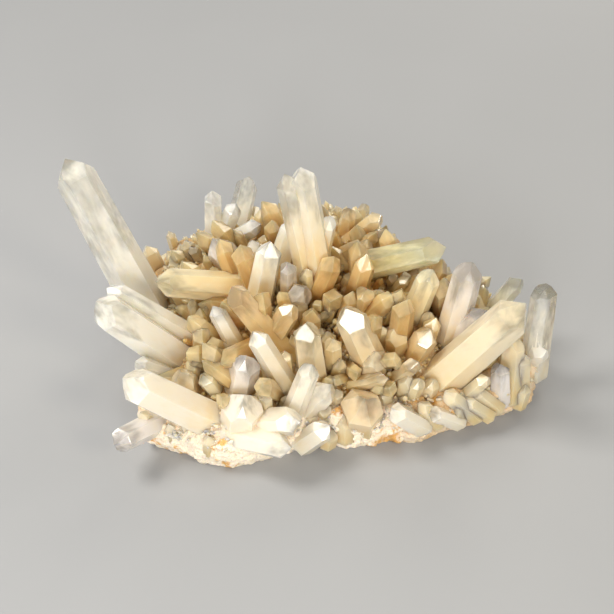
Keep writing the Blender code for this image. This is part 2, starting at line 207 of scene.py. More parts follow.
@dataclass(frozen=True)
class Sight:
    """The view of the cluster from the front and above. A place in it is a line of sight."""

    middle: Place = (307.0, 307.0)
    pixel_mm: float = 0.53
    tilt: float = math.radians(42.0)
    distance: float = 700.0
    aim: Triple = (0.0, 0.0, 30.0)
    picture_px: int = 614
    sensor_mm: float = 36.0
    clip: Place = (0.01, 20.0)

    @property
    def forward(self) -> np.ndarray:
        """Direction from the eye to the aim."""
        return np.array([0.0, math.cos(self.tilt), -math.sin(self.tilt)])

    @property
    def upward(self) -> np.ndarray:
        """Direction that runs up the picture."""
        return np.array([0.0, math.sin(self.tilt), math.cos(self.tilt)])

    @property
    def eye(self) -> np.ndarray:
        """Place of the eye in mm."""
        return np.array(self.aim) - self.forward * self.distance

    def line(self, place: Place) -> np.ndarray:
        """Direction from the eye through a place in the picture.

        Args:
            place: pixels across and down.

        Returns:
            The direction at length one.
        """
        across = (place[0] - self.middle[0]) * self.pixel_mm
        down = (place[1] - self.middle[1]) * self.pixel_mm
        return unit(self.forward * self.distance + np.array([across, 0.0, 0.0]) - self.upward * down)

    def at_height(self, place: Place, height: float) -> np.ndarray:
        """The place at a height that is seen at a place in the picture."""
        line = self.line(place)
        return self.eye + line * ((height - self.eye[2]) / line[2])

    def camera(self, shift: np.ndarray) -> bpy.types.Object:
        """Makes the camera of this view.

        Args:
            shift: how far the frame's origin lies from this view's, in mm.

        Returns:
            The camera object.
        """
        data = bpy.data.cameras.new("photo_view")
        data.sensor_width = self.sensor_mm
        data.lens = self.sensor_mm * self.distance / (self.picture_px * self.pixel_mm)
        data.clip_start, data.clip_end = self.clip
        columns = (np.array([1.0, 0.0, 0.0]), self.upward, -self.forward, (self.eye - shift) * MM)
        return placed("photo_view", data, columns)


@dataclass(frozen=True)
class RockDome:
    """Form of the rock base in mm: an outline in plan, a rim that is low in front, and a dome."""

    middle: Place = (6.0, 4.0)
    top: float = 44.0
    rim_front: float = 9.0
    rim_back: float = 25.0
    rim_side: float = 14.0
    fall: float = 2.0
    rise_power: float = 0.8
    drop_power: float = 0.5
    lump_height: float = 2.6
    lump_size: float = 17.0
    fine_scale: float = 2.7
    fine_share: float = 0.5
    slices: Place = (3.7, 9.1)
    bank: float = 5.4
    rim_band: Place = (0.76, 0.93)
    inner_band: Place = (0.35, 0.9)
    behind: float = 0.25
    front_band: Place = (-0.25, 0.4)
    right_band: Place = (0.1, 0.7)
    look_from: float = 90.0
    look_steps: int = 400
    radiate_from: Triple = (8.0, 8.0, -60.0)
    outline: tuple[Place, ...] = (
        (-39.0, -89.0), (-14.0, -80.0), (4.0, -74.0), (41.0, -72.5), (78.0, -62.0), (101.0, -52.0),
        (115.0, -43.0), (122.0, -24.0), (116.0, -4.0), (103.0, 14.0), (82.0, 30.0), (60.0, 48.0),
        (46.0, 66.0), (30.0, 82.0), (6.0, 88.0), (-24.0, 82.0), (-50.0, 76.0), (-72.0, 62.0),
        (-84.0, 42.0), (-87.0, 12.0), (-86.0, -24.0), (-86.0, -55.0), (-80.0, -73.0), (-60.0, -82.0),
    )

    def outline_radius(self, angle: np.ndarray) -> np.ndarray:
        """Distance from the middle to the outline at each angle, straight between its points.

        Args:
            angle: angles round the middle.

        Returns:
            Distances in mm.
        """
        spokes = np.array(self.outline) - np.array(self.middle)
        angles = np.arctan2(spokes[:, 1], spokes[:, 0])
        order = np.argsort(angles)
        radii = np.hypot(spokes[:, 0], spokes[:, 1])
        return np.interp(angle, angles[order], radii[order], period=2 * math.pi)

    def round_and_out(self, x: np.ndarray, y: np.ndarray) -> tuple[np.ndarray, np.ndarray]:
        """The angle round the middle and the share of the way out to the rim.

        Args:
            x: places across in mm.
            y: places away in mm.

        Returns:
            Angles, and shares that are 1 on the outline.
        """
        away_x = x - self.middle[0]
        away_y = y - self.middle[1]
        angle = np.arctan2(away_y, away_x)
        return angle, np.hypot(away_x, away_y) / self.outline_radius(angle)

    def rim_height(self, angle: np.ndarray) -> np.ndarray:
        """Height of the rim at each angle: a power of the sine, up to the back and down to the front.

        Args:
            angle: angles round the middle.

        Returns:
            Heights in mm.
        """
        back = np.sin(angle)
        rise = (self.rim_back - self.rim_side) * np.clip(back, 0.0, 1.0) ** self.rise_power
        drop = (self.rim_front - self.rim_side) * np.clip(-back, 0.0, 1.0) ** self.drop_power
        return self.rim_side + rise + drop

    def smooth_height(self, x: np.ndarray, y: np.ndarray) -> np.ndarray:
        """Height of the dome without its lumps: rim plus the rest times one less the squared share out.

        Args:
            x: places across in mm.
            y: places away in mm.

        Returns:
            Heights in mm.
        """
        angle, share = self.round_and_out(x, y)
        rim = self.rim_height(angle)
        return rim + (self.top - rim) * (1.0 - np.minimum(share, 1.0) ** self.fall)

    def height(self, x: float, y: float) -> float:
        """Height of the crust over one place, lumps included, as on the frame's rock base.

        Args:
            x: the place across in mm.
            y: the place away in mm.

        Returns:
            The height in mm.
        """
        across, away = x / self.lump_size, y / self.lump_size
        coarse = noise.noise((across, away, self.slices[0]))
        fine = noise.noise((across * self.fine_scale, away * self.fine_scale, self.slices[1]))
        return float(self.smooth_height(x, y)) + self.lump_height * (coarse + self.fine_share * fine)

    def seen_at(self, sight: Sight, place: Place) -> np.ndarray:
        """The place on the crust where a line of sight first meets it.

        Args:
            sight: the view.
            place: pixels across and down.

        Returns:
            The place in mm.
        """
        line = sight.line(place)
        near = (self.look_from - sight.eye[2]) / line[2]
        far = -sight.eye[2] / line[2]
        for distance in np.linspace(near, far, self.look_steps):
            spot = sight.eye + line * distance
            if spot[2] <= self.height(spot[0], spot[1]):
                break
        return spot

    def inwardness(self, spots: np.ndarray) -> np.ndarray:
        """How far in a spot lies: 0 near the rim, 1 from a third of the way out inwards."""
        return 1.0 - ramp(self.round_and_out(spots[:, 0], spots[:, 1])[1], *self.inner_band)

    def front_rim(self, x: np.ndarray, y: np.ndarray, right: float = 1.0) -> np.ndarray:
        """How much a place belongs to the front rim: a band near the outline, weaker round the back.

        Args:
            x: places across in mm.
            y: places away in mm.
            right: the share that is left towards the right.

        Returns:
            1 on the front rim, and a quarter round the back.
        """
        angle, share = self.round_and_out(x, y)
        front = ramp(-np.sin(angle), *self.front_band)
        front = front * (1.0 - (1.0 - right) * ramp(np.cos(angle), *self.right_band))
        return ramp(share, *self.rim_band) * (self.behind + (1.0 - self.behind) * front)

    def crust_height(self, x: np.ndarray, y: np.ndarray) -> np.ndarray:
        """Height of the dome with the bank of crust that buries the feet of the points on the front rim."""
        return self.smooth_height(x, y) + self.bank * self.front_rim(x, y)

    def outward(self, spots: np.ndarray) -> np.ndarray:
        """Directions in which points radiate from these spots."""
        return unit(spots - np.array(self.radiate_from))


class Signal:
    """A node's output socket that can stand in a sum of values."""

    def __init__(self, graph: "Graph", socket: bpy.types.NodeSocket) -> None:
        """Keeps the graph and the socket."""
        self.graph = graph
        self.socket = socket

    def _math(self, operation: str, first: "Signal | float", second: "Signal | float") -> "Signal":
        """Result of one Math node."""
        return self.graph.value("ShaderNodeMath", 0, {"operation": operation}, {0: first, 1: second})

    def __add__(self, other: "Signal | float") -> "Signal":
        """Sum."""
        return self._math("ADD", self, other)

    def __radd__(self, other: float) -> "Signal":
        """Sum, from the right."""
        return self._math("ADD", other, self)

    def __sub__(self, other: "Signal | float") -> "Signal":
        """Difference."""
        return self._math("SUBTRACT", self, other)

    def __rsub__(self, other: float) -> "Signal":
        """Difference, from the right."""
        return self._math("SUBTRACT", other, self)

    def __mul__(self, other: "Signal | float") -> "Signal":
        """Product."""
        return self._math("MULTIPLY", self, other)

    def __rmul__(self, other: float) -> "Signal":
        """Product, from the right."""
        return self._math("MULTIPLY", other, self)

    def step(self, low: float, high: float) -> "Signal":
        """Smooth step from 0 at low to 1 at high."""
        given = {"Value": self, "From Min": low, "From Max": high, "To Min": 0.0, "To Max": 1.0}
        return self.graph.value("ShaderNodeMapRange", "Result", {"interpolation_type": "SMOOTHSTEP"}, given)


class Graph:
    """The nodes of one material."""

    def __init__(self, name: str) -> None:
        """Makes an empty material.

        Args:
            name: the material's name.
        """
        self.material = bpy.data.materials.new(name)
        self.material.use_nodes = True
        self.tree = self.material.node_tree
        self.tree.nodes.clear()

    def node(self, kind: str, settings: dict | None = None, inputs: dict | None = None) -> bpy.types.Node:
        """Adds a node.

        Args:
            kind: the node's type.
            settings: its properties, set first.
            inputs: the value or the signal of each socket, by name or number.

        Returns:
            The node.
        """
        made = self.tree.nodes.new(kind)
        for key, value in (settings or {}).items():
            setattr(made, key, value)
        for key, value in (inputs or {}).items():
            if isinstance(value, Signal):
                self.tree.links.new(value.socket, made.inputs[key])
            else:
                made.inputs[key].default_value = value
        return made

    def value(
        self, kind: str, output: str | int, settings: dict | None = None, inputs: dict | None = None
    ) -> Signal:
        """One output, by name or number, of a new node with these settings and inputs."""
        return Signal(self, self.node(kind, settings, inputs).outputs[output])

    def place(self) -> Signal:
        """Object coordinates."""
        return self.value("ShaderNodeTexCoord", "Object")

    def attribute(self, name: str, output: str = "Fac") -> Signal:
        """A number, or with Vector three numbers, that the mesh holds for each of its points."""
        return self.value("ShaderNodeAttribute", output, {"attribute_name": name})

    def noise(self, where: Signal, scale: float, inputs: dict | None = None) -> Signal:
        """Noise over a place, in four dimensions where a W is given.

        Args:
            where: the place.
            scale: features a metre.
            inputs: further inputs, which go before the usual ones.

        Returns:
            The noise, from 0 to 1.
        """
        given = {"Vector": where, "Scale": scale, "Detail": 4.0, "Roughness": 0.55, **(inputs or {})}
        sides = "4D" if "W" in given else "3D"
        return self.value("ShaderNodeTexNoise", "Fac", {"noise_dimensions": sides}, given)

    def cells(self, where: Signal, scale: float) -> tuple[Signal, Signal]:
        """The distance to the nearest of many scattered spots, and that spot's own colour."""
        made = self.node("ShaderNodeTexVoronoi", None, {"Vector": where, "Scale": scale})
        return Signal(self, made.outputs["Distance"]), Signal(self, made.outputs["Color"])

    def spread(self, factor: Signal | float, first: Signal | Triple, second: Signal | Triple) -> Signal:
        """Blend of two colours.

        Args:
            factor: 0 for the first colour and 1 for the second.
            first: a colour or a colour signal.
            second: a colour or a colour signal.

        Returns:
            The blended colour.
        """
        ends = [value if isinstance(value, Signal) else (*value, 1.0) for value in (first, second)]
        return self.value("ShaderNodeMix", 2, {"data_type": "RGBA"}, {0: factor, 6: ends[0], 7: ends[1]})

    def bump(self, height: Signal, strength: float, distance: float) -> Signal:
        """A normal that follows a height.

        Args:
            height: the height signal.
            strength: share of the effect.
            distance: height in metres that the signal's 1 stands for.

        Returns:
            The normal.
        """
        given = {"Height": height, "Strength": strength, "Distance": distance}
        return self.value("ShaderNodeBump", "Normal", None, given)

    def principled(self, inputs: dict) -> Signal:
        """A Principled shader with these inputs."""
        return self.value("ShaderNodeBsdfPrincipled", 0, None, inputs)

    def close(self, surface: Signal, volume: Signal | None = None) -> bpy.types.Material:
        """Ends the material.

        Args:
            surface: its surface shader.
            volume: for a clear material, the shader of its inside.

        Returns:
            The material.
        """
        ends = {"Surface": surface}
        if volume is not None:
            ends["Volume"] = volume
        self.node("ShaderNodeOutputMaterial", None, ends)
        return self.material


@dataclass(frozen=True)
class QuartzFinish:
    """Quartz that is cloudy towards its foot and clear towards its tip, with iron stain near the rock and
    painted golden shade in the middle of the cluster.

    The scales are those of the noise patterns, in features a metre.
    """

    slot: str
    milk: Triple = (0.90, 0.88, 0.81)
    warm: Triple = (0.88, 0.79, 0.60)
    stain: Triple = (0.85, 0.66, 0.35)
    tint: Triple = (0.97, 0.97, 0.94)
    speck: Triple = (0.20, 0.12, 0.06)
    cloudiness: float = 0.0
    window_clear: float = 0.72
    blushing: float = 1.0
    stain_reach: float = 0.35
    milk_through: float = 0.15
    absorb: Triple = (0.98, 0.92, 0.78)
    absorb_density: float = 12.0
    index: float = 1.544
    cloud_scale: float = 75.0
    veil_scale: float = 190.0
    warmth_scale: float = 90.0
    mottle_scale: float = 420.0
    speck_scale: float = 105.0
    line_scale: float = 1300.0
    pit_scale: float = 700.0
    relief: Place = (0.16, 0.00025)

    def material(self, name: str) -> bpy.types.Material:
        """Builds the quartz: a clear and a cloudy shader, mixed by clouds that thin out towards the tip.

        The cloudy colour goes from milk to warm towards the foot, then to iron stain at the foot, with a fine
        mottle of milk and stain and a rare dark speck. Towards the middle of the cluster the warm tone and
        the
        stain reach further up the point: there they are painted golden shade, as deep among the other points.

        Args:
            name: the material's name.

        Returns:
            The material.
        """
        graph = Graph(name)
        where = graph.place()
        grain = graph.attribute("grain", "Vector")
        along, climb, chance, haze, inner = (
            graph.attribute(held) for held in ("along", "climb", "chance", "haze", "inner")
        )
        cloud = graph.noise(grain, self.cloud_scale, {"W": chance * 9.0, "Detail": 3.0, "Distortion": 0.4})
        folds = {"W": chance * 5.0, "Detail": 5.0, "Roughness": 0.6, "Distortion": 0.5}
        veil = graph.noise(grain, self.veil_scale, folds)
        warmth = graph.noise(where, self.warmth_scale, {"W": chance * 3.0, "Detail": 3.0})
        mottle = graph.noise(grain, self.mottle_scale, {"W": chance * 7.0, "Roughness": 0.65})
        window = (0.50 - self.cloudiness - cloud - haze) * 3.2 + (along - 0.62) * 1.7 + (veil - 0.5) * 0.8
        milk = 1.0 - self.window_clear * window.step(-0.15, 0.95)
        # Painted shade: the inner terms carry warm tone and stain up the points in the middle of the cluster.
        low = (1.0 - along) + 0.6 * warmth + 0.5 * inner
        stain_and_depth_shade = low.step(1.38 - self.stain_reach, 1.98 - 0.4 * self.stain_reach)
        fade = (1.0 - along) * (0.35 + 0.9 * inner)
        blush_and_depth_shade = 1.1 * fade + 0.6 * warmth + 0.32 * inner + (0.55 * self.blushing - 1.0)
        colour = graph.spread(blush_and_depth_shade.step(-0.25, 0.9), self.milk, self.warm)
        colour = graph.spread(stain_and_depth_shade, colour, self.stain)
        colour = graph.spread(mottle.step(0.48, 0.72) * 0.35, colour, self.milk)
        colour = graph.spread(mottle.step(0.52, 0.30) * 0.22 * (1.0 - along), colour, self.stain)
        near, shade = graph.cells(grain, self.speck_scale)
        rare = graph.value("ShaderNodeSeparateColor", 0, None, {0: shade}).step(0.86, 0.88)
        speck = (0.06 - near).step(0.0, 0.015) * rare
        colour = graph.spread(speck * 0.75, colour, self.speck)
        rungs = graph.value("ShaderNodeCombineXYZ", 0, None, {0: climb * self.line_scale, 1: chance * 40.0})
        lines = graph.noise(rungs, 1.0, {"Detail": 3.0})
        pits = graph.noise(where, self.pit_scale, {"Detail": 2.0})
        normal = graph.bump(lines + 0.3 * pits + 0.5 * mottle, *self.relief)
        clear = graph.principled(
            {
                "Base Color": graph.spread(stain_and_depth_shade * 0.6, self.tint, self.stain),
                "Roughness": 0.04 + 0.22 * veil.step(0.35, 0.8),
                "IOR": self.index,
                "Transmission Weight": 1.0,
                "Coat Weight": 0.6,
                "Coat Roughness": 0.03,
                "Normal": normal,
            }
        )
        milky = graph.principled(
            {
                "Base Color": colour,
                "Roughness": 0.30 + 0.15 * veil,
                "IOR": self.index,
                "Subsurface Weight": 0.8,
                "Subsurface Radius": (1.0, 0.9, 0.7),
                "Subsurface Scale": 0.008,
                "Transmission Weight": self.milk_through,
                "Coat Weight": 0.8,
                "Coat Roughness": 0.05,
                "Normal": normal,
            }
        )
        both = graph.value("ShaderNodeMixShader", 0, None, {0: milk, 1: clear, 2: milky})
        inside = {"Color": (*self.absorb, 1.0), "Density": self.absorb_density}
        return graph.close(both, graph.value("ShaderNodeVolumeAbsorption", 0, None, inside))


@dataclass(frozen=True)
class CrustFinish:
    """The sugary crust: cream at the broken rim, ochre above and brown in the hollows, with rust spots."""

    cream: Triple = (0.96, 0.84, 0.68)
    ochre: Triple = (0.60, 0.40, 0.19)
    brown: Triple = (0.27, 0.15, 0.05)
    rust: Triple = (0.70, 0.36, 0.07)
    rough: float = 0.62
    patch_scale: float = 55.0
    spot_scale: float = 80.0
    grain_scale: float = 620.0
    sugar_scale: float = 950.0

    def material(self, name: str) -> bpy.types.Material:
        """Builds the crust from the mesh's hollow and rim numbers and noise.

        Args:
            name: the material's name.

        Returns:
            The material.
        """
        graph = Graph(name)
        where = graph.place()
        hollow = graph.attribute("hollow")
        rim = graph.attribute("rim")
        patches = graph.noise(where, self.patch_scale, {"Detail": 5.0, "Roughness": 0.6})
        grains = graph.noise(where, self.grain_scale, {"Detail": 3.0})
        spots = graph.noise(where, self.spot_scale, {"Detail": 5.0, "Roughness": 0.62, "Distortion": 0.6})
        pale = (rim + 0.55 * patches - 0.3 * hollow).step(0.45, 0.95)
        colour = graph.spread(pale, self.ochre, self.cream)
        colour = graph.spread(spots.step(0.54, 0.64) * 0.9, colour, self.rust)
        colour = graph.spread(grains.step(0.58, 0.75) * 0.35, colour, self.cream)
        colour = graph.spread(grains.step(0.45, 0.28) * 0.35, colour, self.brown)
        colour = graph.spread((hollow - 0.45 * rim).step(0.35, 0.9), colour, self.brown)
        height = graph.cells(where, self.sugar_scale)[0] * 0.8 + grains
        shader = graph.principled(
            {
                "Base Color": colour,
                "Roughness": self.rough - 0.3 * grains.step(0.5, 0.8),
                "Subsurface Weight": 0.2,
                "Subsurface Radius": (1.0, 0.6, 0.3),
                "Subsurface Scale": 0.002,
                "Normal": graph.bump(height, 0.8, 0.0007),
            }
        )
        return graph.close(shader)


@dataclass(frozen=True)
class DruseFinish:
    """Small crowded points: cream to honey, darker and browner deep between the others by painted shade."""

    pale: Triple = (0.90, 0.74, 0.47)
    honey: Triple = (0.76, 0.53, 0.24)
    brown: Triple = (0.42, 0.21, 0.05)
    rim_pale: Triple = (0.93, 0.83, 0.68)
    index: float = 1.544
    see_through: float = 0.2
    glow: float = 0.7
    cloud_scale: float = 300.0

    def material(self, name: str) -> bpy.types.Material:
        """Builds the druse.

        Args:
            name: the material's name.

        Returns:
            The material.
        """
        graph = Graph(name)
        along, chance, shade, rim = (graph.attribute(held) for held in ("along", "chance", "shade", "rim"))
        cloud = graph.noise(graph.place(), self.cloud_scale, {"W": chance * 6.0, "Detail": 3.0})
        # Painted shade: deep between the others a point is darker, and browner towards its foot.
        lightness = 0.45 * chance + 0.35 * along + 0.35 * cloud - 0.45 * shade
        colour = graph.spread(lightness.step(0.2, 0.9), self.honey, self.pale)
        colour = graph.spread((shade + 0.7 * (1.0 - along)).step(0.7, 1.5), colour, self.brown)
        colour = graph.spread(rim * 0.85, colour, self.rim_pale)
        shader = graph.principled(
            {
                "Base Color": colour,
                "Roughness": 0.25 + 0.2 * cloud,
                "IOR": self.index,
                "Subsurface Weight": self.glow,
                "Subsurface Radius": (1.0, 0.75, 0.4),
                "Subsurface Scale": 0.006,
                "Transmission Weight": self.see_through,
                "Coat Weight": 0.7,
                "Coat Roughness": 0.06,
                "Normal": graph.bump(cloud, 0.2, 0.0003),
            }
        )
        return graph.close(shader)


class Look(Enum):
    """The finishes that the large points take."""

    MILKY = QuartzFinish("milky_quartz", cloudiness=0.04, blushing=0.45)
    BLUSH = QuartzFinish("milky_quartz", milk=(0.92, 0.86, 0.75), warm=(0.90, 0.77, 0.58), cloudiness=0.06)
    WARM = QuartzFinish("milky_quartz", milk=(0.84, 0.76, 0.58), warm=(0.82, 0.66, 0.41), cloudiness=-0.05)
    CLEAR = QuartzFinish(
        "clear_quartz", cloudiness=-0.16, window_clear=0.85, stain_reach=0.4, milk_through=0.3
    )
    CREAM = QuartzFinish("cream_quartz", milk=(0.90, 0.82, 0.61), warm=(0.86, 0.74, 0.47))
    YELLOW = QuartzFinish(
        "yellow_quartz",
        milk=(0.89, 0.74, 0.53),
        warm=(0.86, 0.66, 0.36),
        stain=(0.82, 0.55, 0.21),
        tint=(1.0, 0.90, 0.70),
        absorb=(0.99, 0.85, 0.56),
        cloudiness=-0.02,
        blushing=1.2,
        stain_reach=0.55,
        milk_through=0.25,
    )
    SMOKY = QuartzFinish(
        "milky_quartz",
        milk=(0.96, 0.96, 0.84),
        warm=(0.98, 0.89, 0.55),
        stain=(0.96, 0.77, 0.38),
        tint=(0.92, 0.93, 0.82),
        window_clear=0.74,
        cloudiness=-0.16,
    )
    LILAC = QuartzFinish("lilac_quartz", milk=(0.82, 0.79, 0.79), warm=(0.83, 0.73, 0.59), cloudiness=-0.06)


SMALL_FINISH = QuartzFinish(
    "yellow_quartz",
    milk=(0.93, 0.82, 0.64),
    warm=(0.88, 0.67, 0.37),
    stain=(0.81, 0.53, 0.20),
    tint=(1.0, 0.90, 0.69),
    absorb=(0.99, 0.85, 0.56),
    window_clear=0.52,
    blushing=1.6,
    stain_reach=0.55,
    milk_through=0.25,
)

FINGER_FINISH = QuartzFinish(
    "yellow_quartz",
    milk=(0.87, 0.72, 0.45),
    warm=(0.81, 0.59, 0.28),
    stain=(0.66, 0.37, 0.10),
    tint=(1.0, 0.87, 0.60),
    absorb=(0.99, 0.82, 0.46),
    window_clear=0.5,
    blushing=1.4,
    cloudiness=0.02,
    stain_reach=0.6,
    milk_through=0.3,
)


def weld(mesh: bpy.types.Mesh) -> None:
    """Makes points that lie together one, and turns the faces outwards.

    Args:
        mesh: the mesh, which is changed.
    """
    work = bmesh.new()
    work.from_mesh(mesh)
    bmesh.ops.remove_doubles(work, verts=work.verts, dist=WELD_MM * MM)
    bmesh.ops.recalc_face_normals(work, faces=work.faces)
    work.to_mesh(mesh)
    work.free()


@dataclass
class Surface:
    """Points in mm and the faces between them."""

    points: np.ndarray
    faces: list[tuple[int, ...]]

    def joined(self, other: "Surface") -> "Surface":
        """This surface and another as one list of points and faces.

        Args:
            other: the other surface.

        Returns:
            Both as one.
        """
        start = len(self.points)
        moved = [tuple(index + start for index in face) for face in other.faces]
        return Surface(np.vstack([self.points, other.points]), self.faces + moved)

    def mesh_object(self, name: str) -> bpy.types.Object:
        """Makes an object of the surface, with its place in its mesh.

        Args:
            name: the object's name.

        Returns:
            The object.
        """
        mesh = bpy.data.meshes.new(name)
        mesh.from_pydata((self.points * MM).tolist(), [], self.faces)
        mesh.update()
        made = bpy.data.objects.new(name, mesh)
        bpy.context.scene.collection.objects.link(made)
        return made


def write_values(mesh: bpy.types.Mesh, values: dict[str, np.ndarray]) -> None:
    """Keeps numbers, or rows of three numbers, for each point of a mesh.

    Args:
        mesh: the mesh.
        values: the array of each attribute, by its name.
    """
    for name, array in values.items():
        kind, key = ("FLOAT_VECTOR", "vector") if array.ndim == 2 else ("FLOAT", "value")
        held = mesh.attributes.new(name, kind, "POINT")
        held.data.foreach_set(key, np.ascontiguousarray(array, np.float32).ravel())


def read_points(mesh: bpy.types.Mesh) -> np.ndarray:
    """The points of a mesh, in mm.

    Args:
        mesh: the mesh.

    Returns:
        Rows of places in mm.
    """
    flat = np.empty(len(mesh.vertices) * 3, np.float64)
    mesh.vertices.foreach_get("co", flat)
    return flat.reshape(-1, 3) / MM


def worn_edges(piece: bpy.types.Object, width: float, segments: int, angle: float) -> None:
    """Rounds a piece's sharp edges.

    Args:
        piece: the object.
        width: width of the rounding in mm.
        segments: faces across it.
        angle: smallest turn in degrees that counts as an edge.
    """
    piece.data.shade_smooth()
    edge = piece.modifiers.new("worn_edges", "BEVEL")
    edge.width = width * MM
    edge.segments = segments
    edge.limit_method = "ANGLE"
    edge.angle_limit = math.radians(angle)
    edge.harden_normals = True


@dataclass
class Crystal:
    """One six-sided point: its foot, its tip and its width in mm."""

    foot: np.ndarray
    tip: np.ndarray
    width: float
    roll: float = 0.0
    skew: float = 0.5
    seed: int = 0
    end_tilt: float = math.radians(51.8)
    narrowing: float = math.radians(1.1)
    seen_share: float = 0.93
    taper_from: float = 0.6
    uneven: float = 0.13
    broad_share: float = 0.25
    narrow_share: float = 0.22
    sink_share: float = 0.45
    sink_most: float = 5.0
    grain_stretch: float = 0.4
    pulls: tuple[float, ...] = (1.0, 0.94, 0.8, 0.6, 0.35)
    relief_size: float = 5.0
    relief_step: float = 31.0
    edge_flat: float = 0.12
    least_side: float = 0.2

    @property
    def axis(self) -> np.ndarray:
        """Direction from the foot to the tip."""
        return unit(self.tip - self.foot)

    @property
    def length(self) -> float:
        """Length from the foot to the tip in mm."""
        return float(np.linalg.norm(self.tip - self.foot))

    @property
    def chance(self) -> float:
        """The crystal's own number from 0 to 1."""
        return (self.seed * GOLDEN_SHARE) % 1.0

    def sides(self, sight: Sight) -> tuple[np.ndarray, np.ndarray]:
        """Two directions square to the axis, the first also square to the view's upward direction.

        Args:
            sight: the view. Where the axis runs nearly up it, the first is square to x instead.

        Returns:
            The two directions.
        """
        side = np.cross(self.axis, sight.upward)
        if np.linalg.norm(side) <= self.least_side:
            side = np.cross(self.axis, np.array([1.0, 0.0, 0.0]))
        side = unit(side)
        return side, np.cross(self.axis, side)

    def values(self, points: np.ndarray, sight: Sight) -> dict[str, np.ndarray]:
        """Numbers that the finish reads at places on the crystal.

        The grain is the place in the crystal's own directions, in metres, drawn out along its axis so
        that clouds run along it. Climb is the way up the axis in metres, and along its share.

        Args:
            points: rows of places in mm.
            sight: the view.

        Returns:
            The arrays grain, climb, along, chance and inner.
        """
        side, other = self.sides(sight)
        away = points - self.foot
        climb = away @ self.axis
        grain = np.stack([away @ side, away @ other, climb * self.grain_stretch], axis=-1)
        return {
            "grain": grain * MM,
            "climb": climb * MM,
            "along": np.clip(climb / self.length, 0.0, 1.0),
            "chance": np.full(len(points), self.chance),
            "inner": np.repeat(RockDome().inwardness(self.foot[None]), len(points)),
        }

    def planes(self, sight: Sight) -> tuple[np.ndarray, np.ndarray]:
        """The faces as planes: six prism faces, three broad and three narrow end faces, and the foot.

        Args:
            sight: the view, whose upward direction the roll is measured from.

        Returns:
            Outward normals, and how far each plane lies from the origin along its normal.
        """
        chance = np.random.default_rng(self.seed)
        axis = self.axis
        side, other = self.sides(sight)
        angles = [math.radians(self.roll) + step * SIXTH for step in range(6)]
        radials = [side * math.cos(angle) + other * math.sin(angle) for angle in angles]
        inner = 0.5 * self.width / self.seen_share * math.cos(math.pi / 6)
        normals = []
        offsets = []
        for radial in radials:
            out = inner * (1.0 + self.uneven * chance.uniform(-1.0, 1.0))
            normals.append(radial * math.cos(self.narrowing) + axis * math.sin(self.narrowing))
            offsets.append(normals[-1] @ (self.foot + axis * self.taper_from * self.length + radial * out))
        for step, radial in enumerate(radials):
            move = -self.skew * self.broad_share if step % 2 == 0 else self.narrow_share
            normals.append(radial * math.sin(self.end_tilt) + axis * math.cos(self.end_tilt))
            offsets.append(normals[-1] @ self.tip + inner * move * chance.random())
        sink = min(self.sink_share * self.width, self.sink_most)
        normals.append(-axis)
        offsets.append(-axis @ (self.foot - axis * sink))
        return np.array(normals), np.array(offsets)

    def facets(self, sight: Sight, same: float = 0.06) -> list[tuple[np.ndarray, np.ndarray]]:
        """Corners of each face in order: the places where three planes meet inside all the others.

        Args:
            sight: the view.
            same: corners closer than this many mm are one.

        Returns:
            For each face, its normal and its corners.
        """
        normals, offsets = self.planes(sight)
        triples = np.array(list(itertools.combinations(range(len(normals)), 3)))
        triples = triples[np.abs(np.linalg.det(normals[triples])) > 1e-5]
        spots = np.linalg.solve(normals[triples], offsets[triples][..., None])[..., 0]
        inside = np.all(spots @ normals.T <= offsets + 1e-6, axis=1)
        corners: list[np.ndarray] = []
        members: list[set[int]] = [set() for _ in normals]
        for spot, triple in zip(spots[inside], triples[inside]):
            index = next((i for i, c in enumerate(corners) if np.linalg.norm(c - spot) < same), None)
            if index is None:
                index = len(corners)
                corners.append(spot)
            for plane in triple:
                members[plane].add(index)
        made = []
        for normal, held in zip(normals, members):
            if len(held) < 3:
                continue
            ring = np.array([corners[index] for index in sorted(held)])
            middle = ring.mean(axis=0)
            first = unit(ring[0] - middle)
            second = np.cross(normal, first)
            around = np.arctan2((ring - middle) @ second, (ring - middle) @ first)
            made.append((normal, ring[np.argsort(around)]))
        return made

    def surface(self, sight: Sight, relief: float, spacing: float = 1.6) -> Surface:
        """The crystal with slightly uneven faces.

        Each face is a grid of two parameters, the way round its edge and the way in to its middle. A point
        is the edge place drawn towards the middle, and sinks along the normal by noise that is nil at the
        edge.

        Args:
            sight: the view.
            relief: how deep the faces are uneven, in mm.
            spacing: distance of points along the edges in mm.

        Returns:
            The surface, whose faces meet at their edges once doubles are welded.
        """
        whole = Surface(np.zeros((0, 3)), [])
        pulls = np.array(self.pulls)
        for normal, ring in self.facets(sight):
            edge: list[np.ndarray] = []
            for start, end in zip(ring, np.roll(ring, -1, axis=0)):
                count = max(1, math.ceil(float(np.linalg.norm(end - start)) / spacing))
                share = np.arange(count)[:, None] / count
                edge.append(start * (1.0 - share) + end * share)
            border = np.vstack(edge)
            count = len(border)
            middle = ring.mean(axis=0)
            grid = middle + pulls[:, None, None] * (border - middle)[None]
            points = np.vstack([grid.reshape(-1, 3), middle])
            weight = np.append(np.repeat(ramp(1.0 - pulls, 0.0, self.edge_flat), count), 1.0)
            moved = points + self.seed * self.relief_step
            depth = relief * layered_noise(moved, self.relief_size, self.seed, 3)
            points = points - normal * (weight * depth)[:, None]
            around = np.arange(count)
            after = (around + 1) % count
            rows = np.arange(len(pulls) - 1)[:, None] * count
            next_rows = rows + count
            quads = np.stack([rows + around, rows + after, next_rows + after, next_rows + around], axis=-1)
            last = (len(pulls) - 1) * count
            tips = np.stack([last + around, last + after, np.full(count, len(points) - 1)], axis=-1)
            faces = [tuple(face) for face in quads.reshape(-1, 4).tolist() + tips.tolist()]
            whole = whole.joined(Surface(points, faces))
        return whole


